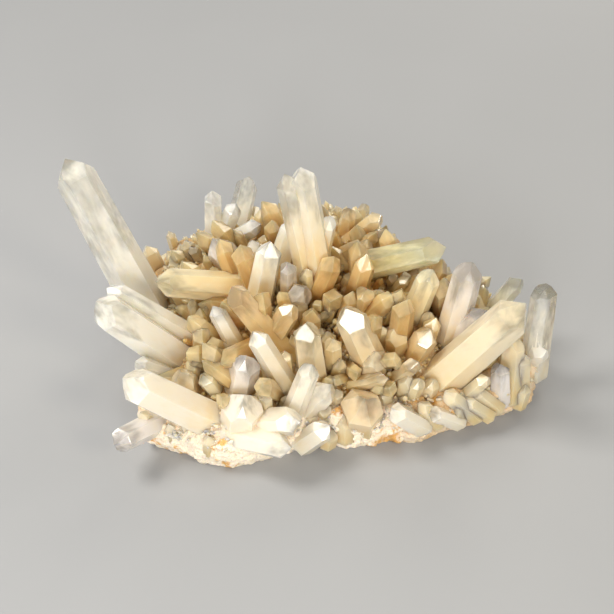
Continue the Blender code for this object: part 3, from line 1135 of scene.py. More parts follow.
@dataclass(frozen=True)
class Growth:
    """Where one point stands: the picture places of its foot and tip, and its real size in mm."""

    node: str
    foot: Place
    tip: Place
    width: float
    length: float
    roll: float = 0.0
    skew: float = 0.5
    grows_at: float = 0.0

    def crystal(self, sight: Sight, dome: RockDome, seed: int) -> Crystal:
        """The crystal that grows here, with its tip on the line of sight and leaning outwards.

        Args:
            sight: the view.
            dome: the rock that it stands on.
            seed: picks its uneven faces.

        Returns:
            The crystal.
        """
        foot = dome.seen_at(sight, self.foot)
        if self.grows_at:
            foot = sight.at_height(self.foot, self.grows_at)
        line = sight.line(self.tip)
        nearest = float((foot - sight.eye) @ line)
        square = self.length**2 - float(np.sum((sight.eye + line * nearest - foot) ** 2))
        reach = math.sqrt(max(square, 0.0))
        ends = [sight.eye + line * (nearest + side * reach) for side in (-1.0, 1.0)]
        outward = dome.outward(foot)
        tip = max(ends, key=lambda end: float(unit(end - foot) @ outward))
        return Crystal(foot, tip, self.width, self.roll, self.skew, seed)


# Node, foot and tip in the picture, width, length, and where they differ from the usual roll and skew.
LARGE_POINTS = tuple(
    Growth(*row)
    for row in (
        ("tall_left_point", (154, 318), (64, 156), 21.0, 108.0, 20.0),
        ("behind_tall_point", (158, 270), (146, 245), 8.5, 20.0, 10.0),
        ("back_left_pair", (214, 238), (213, 190), 11.0, 32.0),
        ("back_left_pair", (221, 236), (236, 203), 10.0, 26.0, 25.0),
        ("clear_back_finger", (236, 227), (249, 175), 12.0, 38.0, 5.0),
        ("rounded_back_finger", (226, 244), (261, 223), 9.5, 30.0),
        ("lilac_back_point", (236, 272), (211, 238), 14.3, 25.5, 10.0),
        ("small_middle_finger", (260, 266), (252, 240), 7.5, 20.0),
        ("centre_left_tall_point", (258, 306), (271, 241), 12.0, 42.0, 90.0, 0.7),
        ("lower_centre_point", (277, 277), (297, 216), 11.5, 36.0),
        ("back_centre_twin", (321, 288), (300, 165), 16.0, 73.0, 8.0),
        ("back_centre_twin", (312, 287), (285, 173), 12.5, 70.0),
        ("back_centre_twin", (323, 246), (330, 216), 9.0, 20.0, 28.0, 0.5, 66.0),
        ("back_ridge_pair", (345, 237), (350, 208), 8.0, 22.0),
        ("back_ridge_pair", (347, 243), (382, 214), 9.0, 30.0),
        ("low_back_ridge_point", (370, 256), (386, 229), 7.5, 21.0),
        ("right_arm_point", (347, 270), (447, 247), 14.6, 62.0, 15.0, 0.8),
        ("yellow_right_point", (411, 320), (433, 269), 11.7, 36.0),
        ("lilac_right_pair", (451, 338), (472, 261), 14.8, 50.0, 12.0),
        ("olive_right_point", (490, 314), (521, 278), 9.5, 34.0, 20.0),
        ("left_trio", (192, 338), (106, 287), 11.7, 57.0, 25.0),
        ("left_trio", (176, 357), (93, 302), 17.0, 60.0, 0.0, 0.9),
        ("left_trio", (168, 374), (134, 362), 8.5, 24.0),
        ("level_cream_point", (250, 289), (154, 282), 14.0, 56.0, 0.0, 0.8),
        ("front_left_big_point", (201, 416), (119, 377), 18.5, 52.0, 20.0, 0.7),
        ("low_left_bluish_point", (160, 421), (112, 445), 13.0, 34.0, 10.0),
        ("bright_cream_point", (213, 389), (202, 375), 8.2, 15.0),
        ("pale_window_point", (238, 350), (213, 305), 8.5, 29.0, 15.0),
        ("hidden_tan_point", (285, 352), (230, 286), 13.0, 48.0),
        ("front_centre_point", (283, 379), (253, 331), 11.2, 38.0, 12.0),
        ("pink_pair", (288, 298), (288, 262), 9.0, 27.0),
        ("pink_pair", (290, 306), (306, 287), 13.0, 21.0, 20.0),
        ("glinting_middle_point", (314, 379), (306, 322), 12.8, 42.0, 78.0, 0.8),
        ("yellow_inner_point", (338, 309), (351, 298), 8.0, 12.0),
        ("tan_inner_point", (361, 319), (366, 287), 10.0, 26.0),
        ("star_glint_pair", (370, 360), (345, 306), 15.0, 44.0, 0.0, 0.9),
        ("star_glint_pair", (371, 369), (375, 351), 13.5, 19.0, 10.0),
        ("right_inner_point", (398, 378), (419, 361), 9.0, 20.0),
        ("small_glint_point", (415, 354), (431, 330), 12.0, 22.0, 57.0),
        ("lilac_right_pair", (452, 344), (486, 309), 10.5, 34.0, 22.0),
        ("right_big_point", (443, 377), (528, 303), 17.5, 68.0, 20.0, 0.9),
        ("far_right_pair", (534, 368), (546, 282), 12.5, 52.0, 12.0),
        ("far_right_pair", (524, 362), (547, 350), 8.5, 20.0),
        ("lilac_low_right_point", (500, 398), (500, 363), 9.5, 26.0),
        ("bluish_end_on_point", (240, 390), (247, 354), 13.8, 26.0, 12.0),
        ("front_block_group", (241, 425), (243, 393), 18.0, 24.0, 24.0),
        ("front_block_group", (261, 424), (301, 421), 13.8, 30.0, 12.0),
        ("front_block_group", (236, 435), (293, 448), 12.5, 33.0, 12.0),
        ("bright_front_point", (307, 441), (331, 425), 11.0, 20.0, 36.0),
        ("front_middle_pair", (290, 419), (312, 363), 10.6, 40.0),
        ("front_middle_pair", (308, 409), (332, 383), 12.0, 24.0, 20.0),
        ("pale_yellow_arm", (350, 385), (389, 378), 7.0, 25.0),
        ("clear_block_point", (362, 416), (365, 398), 20.0, 23.0, 20.0, 0.2),
        ("front_right_pair", (418, 424), (390, 409), 10.5, 25.0),
        ("front_right_pair", (455, 421), (429, 412), 8.5, 20.0),
    )
)

# Small points, as foot and tip in the picture, width and length. The first are also in the rock base.
FUSED_SMALL = (
    ((466, 396), (489, 377), 8.0, 22.0), ((309, 303), (307, 268), 6.0, 22.0),
    ((175, 249), (169, 231), 5.3, 14.0), ((254, 220), (256, 206), 5.0, 12.0),
    ((268, 226), (265, 209), 5.5, 13.0), ((341, 222), (336, 205), 5.0, 12.0),
    ((357, 231), (366, 203), 6.4, 20.0), ((376, 256), (372, 236), 5.5, 13.0),
    ((395, 292), (409, 277), 6.5, 15.0), ((434, 308), (443, 277), 6.4, 21.0),
    ((203, 318), (203, 345), 6.4, 22.0), ((155, 430), (139, 412), 8.0, 16.0),
    ((266, 412), (265, 392), 7.0, 17.0), ((334, 366), (333, 338), 9.0, 22.0),
    ((377, 314), (377, 289), 6.5, 18.0), ((508, 392), (514, 333), 11.0, 34.0),
    ((520, 388), (522, 352), 9.5, 24.0), ((345, 433), (345, 413), 9.0, 13.0),
    ((382, 428), (382, 414), 5.0, 9.0), ((457, 414), (458, 395), 9.0, 13.0),
    ((494, 405), (471, 387), 8.0, 20.0), ((485, 413), (463, 399), 8.0, 17.0),
    ((328, 440), (331, 429), 8.0, 9.0), ((188, 392), (180, 372), 13.0, 18.0),
    ((424, 332), (431, 312), 7.0, 14.0), ((268, 345), (294, 304), 10.0, 32.0),
    ((236, 318), (226, 300), 8.0, 18.0), ((344, 262), (352, 244), 7.0, 16.0),
    ((480, 352), (492, 330), 8.0, 20.0), ((412, 398), (420, 378), 8.0, 16.0),
    ((184, 290), (172, 268), 8.0, 18.0), ((196, 262), (184, 240), 7.0, 16.0),
)
ADDED_SMALL = (
    ((196, 322), (191, 298), 5.5, 14.0), ((208, 325), (207, 302), 5.0, 13.0),
    ((228, 354), (224, 342), 8.5, 10.0), ((246, 352), (243, 342), 6.0, 9.0),
    ((268, 378), (262, 360), 7.0, 12.0), ((276, 385), (277, 366), 6.0, 12.0),
    ((287, 370), (284, 350), 7.0, 13.0), ((305, 300), (304, 270), 6.0, 19.0),
    ((332, 280), (336, 258), 7.0, 14.0), ((345, 290), (352, 272), 7.0, 12.0),
    ((380, 312), (380, 289), 7.0, 15.0), ((396, 346), (395, 325), 12.0, 16.0),
    ((385, 342), (380, 325), 7.0, 12.0), ((404, 322), (400, 302), 8.0, 14.0),
    ((408, 296), (404, 271), 6.0, 16.0), ((394, 288), (391, 272), 6.0, 11.0),
    ((336, 374), (340, 358), 8.0, 12.0), ((404, 394), (408, 374), 8.0, 14.0),
    ((388, 404), (384, 388), 7.0, 12.0), ((428, 394), (434, 378), 8.0, 12.0),
    ((330, 352), (328, 331), 8.0, 14.0), ((200, 262), (190, 246), 6.5, 13.0),
    ((186, 262), (180, 243), 6.0, 13.0), ((232, 300), (226, 284), 7.0, 12.0),
    ((262, 322), (258, 306), 8.0, 13.0), ((300, 318), (300, 300), 8.0, 13.0),
    ((322, 346), (318, 326), 6.5, 13.0), ((473, 413), (444, 391), 8.5, 23.0),
    ((436, 420), (418, 402), 8.0, 15.0), ((408, 420), (400, 404), 9.0, 12.0),
    ((326, 418), (322, 402), 8.0, 12.0), ((338, 402), (336, 388), 7.0, 11.0),
    ((190, 432), (184, 420), 7.0, 9.0), ((172, 436), (168, 424), 6.0, 9.0),
    ((210, 448), (208, 436), 7.0, 9.0), ((520, 402), (526, 384), 7.0, 12.0),
)


@dataclass(frozen=True)
class SideGrowth:
    """A point low on the far side: foot in plan, height, bearing and rise in degrees, width, length."""

    node: str
    foot: Place
    height: float
    bearing: float
    rise: float
    width: float
    length: float
    sunk: float = 3.0

    def crystal(self, seed: int) -> Crystal:
        """The crystal that grows here.

        Args:
            seed: picks its uneven faces.

        Returns:
            The crystal.
        """
        bearing = math.radians(self.bearing)
        rise = math.radians(self.rise)
        flat = math.cos(rise)
        axis = np.array([flat * math.cos(bearing), flat * math.sin(bearing), math.sin(rise)])
        foot = np.array([self.foot[0], self.foot[1], self.height])
        return Crystal(foot - axis * self.sunk, foot + axis * self.length, self.width, seed=seed)


SMALL = "small"
FAR_POINTS = (
    SideGrowth("far_side_wide_point", (2.0, 84.0), 10.0, 88.0, 4.0, 12.0, 24.0),
    SideGrowth("far_side_left_point", (-46.0, 72.0), 10.0, 112.0, 2.0, 11.0, 22.0),
    SideGrowth(SMALL, (-26.0, 80.0), 9.0, 100.0, 0.0, 7.0, 14.0),
    SideGrowth(SMALL, (28.0, 80.0), 12.0, 62.0, 2.0, 8.0, 17.0),
    SideGrowth(SMALL, (52.0, 56.0), 10.0, 45.0, 0.0, 8.0, 17.0),
    SideGrowth(SMALL, (-74.0, 56.0), 9.0, 138.0, 0.0, 8.0, 17.0),
    SideGrowth(SMALL, (92.0, 22.0), 8.0, 48.0, 0.0, 8.0, 16.0),
    SideGrowth(SMALL, (-84.0, 24.0), 8.0, 172.0, 4.0, 8.0, 16.0),
)

# First seeds of the fused small points, of the far side and of the added small points.
SMALL_SEED, FAR_SEED, ADDED_SEED = 200, 300, 400

# Crystals that are cloudier, or with a minus clearer, than their look.
MORE_HAZE = {
    ("tall_left_point", 0): -0.13,
    ("far_right_pair", 1): 0.6,
    ("clear_block_point", 0): 0.05,
    ("back_centre_twin", 0): -0.07,
    ("back_centre_twin", 1): -0.07,
    ("back_centre_twin", 2): 0.2,
}

# The look whose slot a point has, by a word in its name. Others are milky.
SLOT_LOOKS = (
    ("lilac", Look.LILAC),
    ("pink", Look.LILAC),
    ("bluish", Look.LILAC),
    ("yellow", Look.YELLOW),
    ("tan", Look.YELLOW),
    ("ridge", Look.YELLOW),
    ("olive", Look.YELLOW),
    ("cream", Look.CREAM),
    ("clear", Look.CLEAR),
    ("far", Look.CLEAR),
)

# Finishes that go before those of the slots.
SHADED_LOOKS = (
    ("clear_block", Look.YELLOW),
    ("right_arm", Look.SMOKY),
    ("olive", Look.SMOKY),
    ("front", Look.BLUSH),
    ("right_big", Look.WARM),
    ("glinting", Look.WARM),
    ("star", Look.WARM),
    ("small_glint", Look.YELLOW),
    ("inner", Look.YELLOW),
    ("yellow_right", Look.CREAM),
    ("behind_tall", Look.YELLOW),
)


def look_of(node: str, words: tuple[tuple[str, Look], ...]) -> Look:
    """The look of the first word that stands in a point's name."""
    return next((look for word, look in words if word in node), Look.MILKY)


@dataclass
class LargePoint:
    """One node of the frame: a large point, or a few that have grown together. Sizes are in mm."""

    node: str
    crystals: list[Crystal]
    sight: Sight
    relief: float = 0.12
    bevel: float = 0.22
    bevel_segments: int = 2
    bevel_angle: float = 14.0

    def build(self, shift: np.ndarray) -> bpy.types.Object:
        """Makes the piece and writes the numbers that its finish reads.

        Args:
            shift: how far the frame's origin lies from the view's, in mm.

        Returns:
            The object.
        """
        made, *others = (self._solid(crystal) for crystal in self.crystals)
        for other in others:
            self._union(made, other)
        self._write_growth(made.data)
        points = read_points(made.data) - shift
        made.data.vertices.foreach_set("co", (points * MM).ravel())
        worn_edges(made, self.bevel, self.bevel_segments, self.bevel_angle)
        made.data.update()
        return made

    def _solid(self, crystal: Crystal) -> bpy.types.Object:
        """One of the crystals as a closed mesh.

        Args:
            crystal: the crystal.

        Returns:
            The object.
        """
        made = crystal.surface(self.sight, self.relief).mesh_object(self.node + "_crystal")
        weld(made.data)
        return made

    @staticmethod
    def _union(target: bpy.types.Object, other: bpy.types.Object) -> None:
        """Joins another closed mesh to the target, and removes the other.

        Args:
            target: the object that stays.
            other: the object that goes into it.
        """
        change = target.modifiers.new("grown_together", "BOOLEAN")
        change.operation = "UNION"
        change.solver = "EXACT"
        change.object = other
        bpy.context.view_layer.update()
        graph = bpy.context.evaluated_depsgraph_get()
        mesh = bpy.data.meshes.new_from_object(target.evaluated_get(graph))
        target.modifiers.clear()
        target.data = mesh
        bpy.data.objects.remove(other)

    def _write_growth(self, mesh: bpy.types.Mesh) -> None:
        """Writes each point's numbers as those of the crystal whose faces it lies nearest to.

        Args:
            mesh: the mesh, still in the view's place.
        """
        points = read_points(mesh)
        gaps = []
        for crystal in self.crystals:
            normals, offsets = crystal.planes(self.sight)
            gaps.append(np.abs((points @ normals.T - offsets).max(axis=1)))
        owner = np.argmin(np.array(gaps), axis=0)
        each = [crystal.values(points, self.sight) for crystal in self.crystals]
        for index, values in enumerate(each):
            values["haze"] = np.full(len(points), MORE_HAZE.get((self.node, index), 0.0))
        rows = np.arange(len(points))
        write_values(mesh, {name: np.array([held[name] for held in each])[owner, rows] for name in each[0]})


@dataclass(frozen=True)
class Crowd:
    """Small points scattered on the crust: how many are tried, how they lean, and their sizes in mm.

    A width is the least one plus the range times a power of a chance number, and a length is the width
    times a stretch. The painted shade is its start less its fall times the share out, give or take its
    spread.
    """

    name: str
    slot: str
    finish: QuartzFinish | DruseFinish
    count: int
    seed: int
    reach: float
    lean: float
    least: float
    width_range: float
    power: float
    stretch: Place
    sunk: float
    longer: float
    shade: Triple
    upright: float = 0.0
    rim_right: float = 1.0


FINGERS = Crowd(
    name="fingers_between",
    slot="yellow_quartz",
    finish=FINGER_FINISH,
    count=2600,
    seed=14,
    reach=0.97,
    lean=0.42,
    least=6.2,
    width_range=6.6,
    power=1.4,
    stretch=(1.7, 2.9),
    sunk=2.0,
    longer=2.0,
    shade=(0.55, 0.5, 0.2),
    upright=0.15,
)
BETWEEN = Crowd(
    name="points_between",
    slot="yellow_quartz",
    finish=DruseFinish(),
    count=1000,
    seed=4,
    reach=0.985,
    lean=0.32,
    least=2.2,
    width_range=2.6,
    power=1.4,
    stretch=(1.3, 2.6),
    sunk=1.5,
    longer=1.5,
    shade=(0.95, 0.5, 0.18),
)
DRUSE = Crowd(
    name="druse_sugar",
    slot="crusted_rock",
    finish=DruseFinish((0.80, 0.64, 0.41), (0.64, 0.44, 0.21), (0.38, 0.22, 0.08), see_through=0.1),
    count=5200,
    seed=10,
    reach=0.995,
    lean=0.6,
    least=0.9,
    width_range=1.5,
    power=1.0,
    stretch=(0.9, 1.7),
    sunk=0.8,
    longer=1.2,
    shade=(1.0, 0.4, 0.2),
    rim_right=0.5,
)


@dataclass
class Thicket:
    """Many small six-sided points joined in one mesh. Each has 13 corners."""

    feet: np.ndarray
    axes: np.ndarray
    widths: np.ndarray
    lengths: np.ndarray
    seed: int
    corners: int = 13
    uneven: float = 0.14
    end_share: Place = (0.5, 0.8)
    zigzag: float = 0.2
    narrowing: float = 0.94
    tip_lean: float = 0.1
    shoulder_along: float = 0.8
    grain_stretch: float = 0.4
    upright_from: float = 0.9

    def kept(self, which: np.ndarray) -> "Thicket":
        """Only some of the points."""
        return Thicket(self.feet[which], self.axes[which], self.widths[which], self.lengths[which], self.seed)

    def part_way(self, part: float) -> np.ndarray:
        """The places at this share of the way from each foot to its tip."""
        return self.feet + self.axes * part * self.lengths[:, None]

    def build(self, name: str, shift: np.ndarray, shade: np.ndarray, rim: np.ndarray) -> bpy.types.Object:
        """Makes the mesh.

        Each point is a ring at its foot, a ring at its shoulder whose corners stand at two heights in
        turn, and a tip a little off its axis. A ring's corner is the foot plus the climb along the axis
        plus the radius times the cosine and sine of its angle.

        Args:
            name: the object's name.
            shift: how far the frame's origin lies from the view's, in mm.
            shade: one number for each point, its painted shade, from 0 in the open to 1 deep between the
                others.
            rim: one number for each point, 1 on the pale front rim.

        Returns:
            The object.
        """
        chance = np.random.default_rng(self.seed)
        count = len(self.feet)
        step = np.arange(6)
        upright = np.abs(self.axes[:, 2:]) > self.upright_from
        guide = np.where(upright, [[1.0, 0.0, 0.0]], [[0.0, 0.0, 1.0]])
        side = unit(np.cross(self.axes, guide))
        other = np.cross(self.axes, side)
        angle = chance.uniform(0.0, SIXTH, (count, 1)) + step * SIXTH
        size = chance.uniform(1.0 - self.uneven, 1.0 + self.uneven, (count, 6))
        radius = (0.5 * self.widths[:, None] * size)[..., None]
        around = np.cos(angle)[..., None] * side[:, None] + np.sin(angle)[..., None] * other[:, None]
        end = (chance.uniform(*self.end_share, count) * self.widths)[:, None]
        shoulder = self.lengths[:, None] - end + end * np.where(step % 2 == 0, -self.zigzag, self.zigzag)
        foot_ring = self.feet[:, None] + around * radius
        climbs = self.axes[:, None] * shoulder[..., None]
        top_ring = self.feet[:, None] + around * self.narrowing * radius + climbs
        lean = chance.uniform(-self.tip_lean, self.tip_lean, (count, 2)) * self.widths[:, None]
        tip = self.part_way(1.0) + side * lean[:, :1] + other * lean[:, 1:]
        points = np.concatenate([foot_ring, top_ring, tip[:, None]], axis=1)
        after = (step + 1) % 6
        sides = np.stack([step, after, after + 6, step + 6], axis=-1)
        ends = np.stack([step + 6, after + 6, np.full(6, self.corners - 1)], axis=-1)
        start = (np.arange(count) * self.corners)[:, None, None]
        faces = (start + sides).reshape(-1, 4).tolist() + (start + ends).reshape(-1, 3).tolist()
        faces += (start[:, 0] + step[::-1]).tolist()
        made = Surface(points.reshape(-1, 3) - shift, faces).mesh_object(name)
        along = np.tile(np.append(np.repeat([0.0, self.shoulder_along], 6), 1.0), count)
        away = points - self.feet[:, None]
        directions = (side, other, self.axes * self.grain_stretch)
        grain = np.stack([np.sum(away * way[:, None], axis=2) for way in directions], axis=-1)
        own = {"chance": chance.random(count), "shade": shade, "rim": rim, "climb": self.lengths * MM}
        own["inner"] = RockDome().inwardness(self.feet)
        values = {key: np.repeat(value, self.corners) for key, value in own.items()}
        values["climb"] = values["climb"] * along
        write_values(made.data, {**values, "along": along, "grain": grain.reshape(-1, 3) * MM})
        return made


@dataclass
class Crust:
    """The crusted rock base as one closed surface. Sizes are in mm."""

    dome: RockDome
    spokes: int = 600
    rings: int = 118
    walls: int = 28
    grain: float = 1.0
    grain_size: float = 3.2
    lump: float = 4.0
    lump_size: float = 15.0
    block: float = 2.8
    block_size: float = 7.5
    sugar: float = 1.5
    sugar_size: float = 2.9
    undercut: float = 2.0
    edge_break: float = 2.6
    edge_size: float = 8.0
    pale_right: float = 0.25
    waver: float = 1.5
    waver_size: float = 4.0
    slice_height: float = 4.0
    seed: int = 5
    fine_seed: int = 50
    waver_seed: int = 70
    edge_seed: int = 90

    def _blocks(self, points: np.ndarray) -> np.ndarray:
        """Relief of broken blocks and of the sugar grains on them.

        Args:
            points: rows of places in mm.

        Returns:
            One height in mm for each place.
        """
        waves = layered_noise(points, self.waver_size, self.seed + self.waver_seed, 2)
        wavy = points + self.waver * waves[:, None]
        gap, owner = cell_noise(wavy, self.block_size, self.seed + 1)
        near, grain = cell_noise(wavy, self.sugar_size, self.seed + 2)
        steps = self.block * (owner - 0.5) * (1.0 - ramp(gap, 0.5, 0.9))
        return steps + self.sugar * (0.6 - near + 0.5 * grain)

    def _noise(self, rows: np.ndarray, size: float, seed: int, layers: int) -> np.ndarray:
        """Layered noise over a grid of places."""
        return layered_noise(rows.reshape(-1, 3), size, self.seed + seed, layers).reshape(rows.shape[:-1])

    def build(self, shift: np.ndarray) -> bpy.types.Object:
        """Makes the crust.

        A point is a function of the way round and the way out: the dome's height plus layered noise on
        top, then down the broken rim, whose radius is the outline's plus noise, to the flat underside.

        Args:
            shift: how far the frame's origin lies from the view's, in mm.

        Returns:
            The object.
        """
        across, away = self.dome.middle
        angle = 2 * math.pi * np.arange(self.spokes) / self.spokes
        cos, sin = np.cos(angle), np.sin(angle)
        reach = self.dome.outline_radius(angle)
        radius = (np.arange(1, self.rings + 1) / self.rings)[:, None] * reach
        x, y = across + radius * cos, away + radius * sin
        plan = np.stack([x, y, np.full_like(x, self.slice_height)], axis=-1)
        coarse = self._noise(plan, self.lump_size, 0, 3)
        fine = self._noise(plan, self.grain_size, self.fine_seed, 3)
        lumps = self.lump * (coarse - 0.55) * (1.0 + 0.8 * self.dome.front_rim(x, y))
        z = self.dome.crust_height(x, y) + lumps + self.grain * (fine - 0.5)
        z = z + self._blocks(plan.reshape(-1, 3)).reshape(x.shape)
        hollow = np.clip(1.15 - 1.5 * coarse + 0.5 * (0.5 - fine), 0.0, 1.0)
        down = (np.arange(1, self.walls + 1) / self.walls)[:, None]
        drop = z[-1][None] * (1.0 - down)
        bulge = np.sin(down * math.pi) * 0.6 * self.undercut - down**3 * self.undercut
        ring = np.stack([np.broadcast_to(reach * turn, drop.shape) for turn in (cos, sin)] + [drop], axis=-1)
        rough = self._noise(ring, self.edge_size, self.edge_seed, 4)
        chips = self._blocks(ring.reshape(-1, 3)).reshape(drop.shape)
        broken = self.edge_break * 2.0 * (rough - 0.62) + chips - 0.9
        out = reach + bulge + np.clip(down * 6.0, 0.0, 1.0) * broken
        wall = np.stack([across + out * cos, away + out * sin, drop], axis=-1)
        rows = np.concatenate([np.stack([x, y, z], axis=-1), wall], axis=0)
        points = rows.reshape(-1, 3)
        crown = points[: self.spokes].mean(axis=0)
        points = np.vstack([points, crown, [across, away, 0.0]])
        made = Surface(points - shift, self._faces(len(rows), len(points))).mesh_object("crusted_rock")
        wall_hollow = np.clip(1.2 - 1.6 * rough, 0.0, 1.0) * 0.6
        hollows = np.concatenate([hollow.ravel(), wall_hollow.ravel(), [0.5, 0.0]])
        rim = self.dome.front_rim(points[:, 0], points[:, 1], self.pale_right)
        write_values(made.data, {"hollow": hollows, "rim": rim})
        made.data.shade_smooth()
        return made

    def _faces(self, rows: int, points: int) -> list[tuple[int, ...]]:
        """Faces between the rings, and fans to the crown and to the middle of the underside.

        Args:
            rows: how many rings there are.
            points: how many points, of which the last two are the crown and the underside's middle.

        Returns:
            The faces.
        """
        count = self.spokes
        start = (np.arange(rows - 1) * count)[:, None]
        around = np.arange(count)
        after = (around + 1) % count
        below = start + count
        quads = np.stack([start + around, below + around, below + after, start + after], axis=-1)
        last = (rows - 1) * count
        crown = np.stack([np.full(count, points - 2), around, after], axis=-1)
        under = np.stack([np.full(count, points - 1), last + after, last + around], axis=-1)
        return [tuple(face) for face in quads.reshape(-1, 4).tolist() + crown.tolist() + under.tolist()]


@dataclass
class Cluster:
    """The whole cluster: the crust, the large points and the small ones between them. Sizes are in mm."""

    sight: Sight = field(default_factory=Sight)
    dome: RockDome = field(default_factory=RockDome)
    guide_node: str = "tall_left_point"
    small_relief: float = 0.08
    box_gap: float = 0.4
    finger_spacing: float = 0.72
    finger_checks: tuple[Place, ...] = ((1.0, 0.6), (0.75, 0.4), (0.45, 0.0))
    finger_rim: float = 0.35
    finger_bevel: tuple[float, int, float] = (0.35, 1, 20.0)
    between_checks: tuple[Place, ...] = ((1.0, 0.5), (0.6, 0.2))
    behind_tips: tuple[float, ...] = (3.0, 6.0, 10.0, 14.0, 19.0, 25.0)

    def __post_init__(self) -> None:
        """Finds every listed crystal and how far the frame's origin lies from the view's."""
        self.large: dict[str, list[Crystal]] = {}
        for seed, growth in enumerate(LARGE_POINTS):
            self.large.setdefault(growth.node, []).append(growth.crystal(self.sight, self.dome, seed))
        self.small: list[Crystal] = []
        for rows, first in ((FUSED_SMALL, SMALL_SEED), (ADDED_SMALL, ADDED_SEED)):
            for seed, row in enumerate(rows, first):
                self.small.append(Growth(SMALL, *row).crystal(self.sight, self.dome, seed))
        for seed, side in enumerate(FAR_POINTS, FAR_SEED):
            held = self.small if side.node == SMALL else self.large.setdefault(side.node, [])
            held.append(side.crystal(seed))
        corners = np.vstack([ring for _, ring in self.large[self.guide_node][0].facets(self.sight)])
        self.shift = corners.min(axis=0) - np.array(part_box(self.guide_node)[0]) / MM

    def build(self) -> None:
        """Makes every piece, dresses it and hides the frame's solids that it stands for."""
        crust = Crust(self.dome).build(self.shift)
        self._declare(crust, CrustFinish().material("crusted_rock"), ("rock_base",))
        finishes = {look: look.value.material(look.name.lower() + "_quartz") for look in Look}
        for node, crystals in self.large.items():
            piece = LargePoint(node, crystals, self.sight).build(self.shift)
            finish = finishes[look_of(node, SHADED_LOOKS + SLOT_LOOKS)]
            self._declare(piece, finish, (node,))
        self._small_listed()
        self._fingers()
        self._between()
        self._druse()

    def _declare(
        self, piece: bpy.types.Object, material: bpy.types.Material, nodes: tuple[str, ...] = ()
    ) -> None:
        """Gives a piece its material and its place in the frame.

        Args:
            piece: the object.
            material: its material.
            nodes: the frame's nodes that it stands for.
        """
        piece.data.materials.clear()
        piece.data.materials.append(material)
        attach(piece, "root")
        if nodes:
            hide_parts(*nodes)
        LOG.info("%s: %d faces", piece.name, len(piece.data.polygons))

    def _small_listed(self) -> None:
        """The small points that the picture shows one by one, each with uneven faces."""
        whole = Surface(np.zeros((0, 3)), [])
        held: list[dict[str, np.ndarray]] = []
        for crystal in self.small:
            part = crystal.surface(self.sight, self.small_relief)
            held.append(crystal.values(part.points, self.sight))
            whole = whole.joined(part)
        made = Surface(whole.points - self.shift, whole.faces).mesh_object("small_listed_points")
        write_values(made.data, {name: np.concatenate([each[name] for each in held]) for name in held[0]})
        weld(made.data)
        self._declare(made, SMALL_FINISH.material("small_listed_points"))

    def _scatter(self, count: int, seed: int, reach: float) -> tuple[np.ndarray, np.ndarray]:
        """Even chance places on the crust.

        Args:
            count: how many.
            seed: picks them.
            reach: share of the way out where they end.

        Returns:
            The places in mm, and their shares of the way out.
        """
        chance = np.random.default_rng(seed)
        angle = chance.uniform(-math.pi, math.pi, count)
        share = np.sqrt(chance.uniform(0.0, reach**2, count))
        radius = share * self.dome.outline_radius(angle)
        x = self.dome.middle[0] + radius * np.cos(angle)
        y = self.dome.middle[1] + radius * np.sin(angle)
        return np.stack([x, y, self.dome.crust_height(x, y)], axis=-1), share

    def _free_of_large(self, spots: np.ndarray, margin: float) -> np.ndarray:
        """Which spots lie outside every listed point.

        Args:
            spots: places in mm.
            margin: how far outside in mm.

        Returns:
            True for each spot that is free.
        """
        free = np.ones(len(spots), bool)
        for crystal in itertools.chain(self.small, *self.large.values()):
            normals, offsets = crystal.planes(self.sight)
            free &= (spots @ normals.T - offsets).max(axis=1) > margin
        return free

    def _hides_none(self, tips: np.ndarray) -> np.ndarray:
        """Which tips stand before no listed point: every place a little further along the sight is free."""
        lines = unit(tips - self.sight.eye)
        return np.all([self._free_of_large(tips + lines * far, 0.0) for far in self.behind_tips], axis=0)

    def _inside_box(self, spots: np.ndarray) -> np.ndarray:
        """Which spots lie inside the frame's box, a little clear of its sides.

        Args:
            spots: places in mm.

        Returns:
            True for each spot that is inside.
        """
        moved = (spots - self.shift) * MM
        low = np.array(CAD_BOX[0]) + self.box_gap * MM
        high = np.array(CAD_BOX[1]) - self.box_gap * MM
        return np.all((moved > low) & (moved < high), axis=1)

    @staticmethod
    def _spaced(spots: np.ndarray, widths: np.ndarray, closeness: float) -> np.ndarray:
        """Which spots stay when each keeps its distance from those before it.

        Args:
            spots: places in mm.
            widths: the width of the point at each.
            closeness: share of two points' mean width that must lie between their axes.

        Returns:
            True for each spot that stays.
        """
        kept: list[int] = []
        for index, spot in enumerate(spots):
            gaps = np.linalg.norm(spots[kept] - spot, axis=1)
            if np.all(gaps > closeness * 0.5 * (widths[kept] + widths[index])):
                kept.append(index)
        stays = np.zeros(len(spots), bool)
        stays[kept] = True
        return stays

    def _drawn(
        self, crowd: Crowd, chance: np.random.Generator, feet: np.ndarray, slim: np.ndarray, short: np.ndarray
    ) -> Thicket:
        """Draws a crowd's axes, widths and lengths, in this order.

        Args:
            crowd: the kind of points.
            chance: where the chance numbers come from.
            feet: places on the crust in mm.
            slim: a factor for each width.
            short: a further factor for each length.

        Returns:
            The points that are tried.
        """
        lean = chance.normal(0.0, crowd.lean, feet.shape)
        axes = unit(self.dome.outward(feet) + lean + [0.0, 0.0, crowd.upright])
        widths = (crowd.least + crowd.width_range * chance.random(len(feet)) ** crowd.power) * slim
        lengths = widths * chance.uniform(*crowd.stretch, len(feet)) * short
        return Thicket(feet - axes * crowd.sunk, axes, widths, lengths + crowd.longer, crowd.seed + 2)

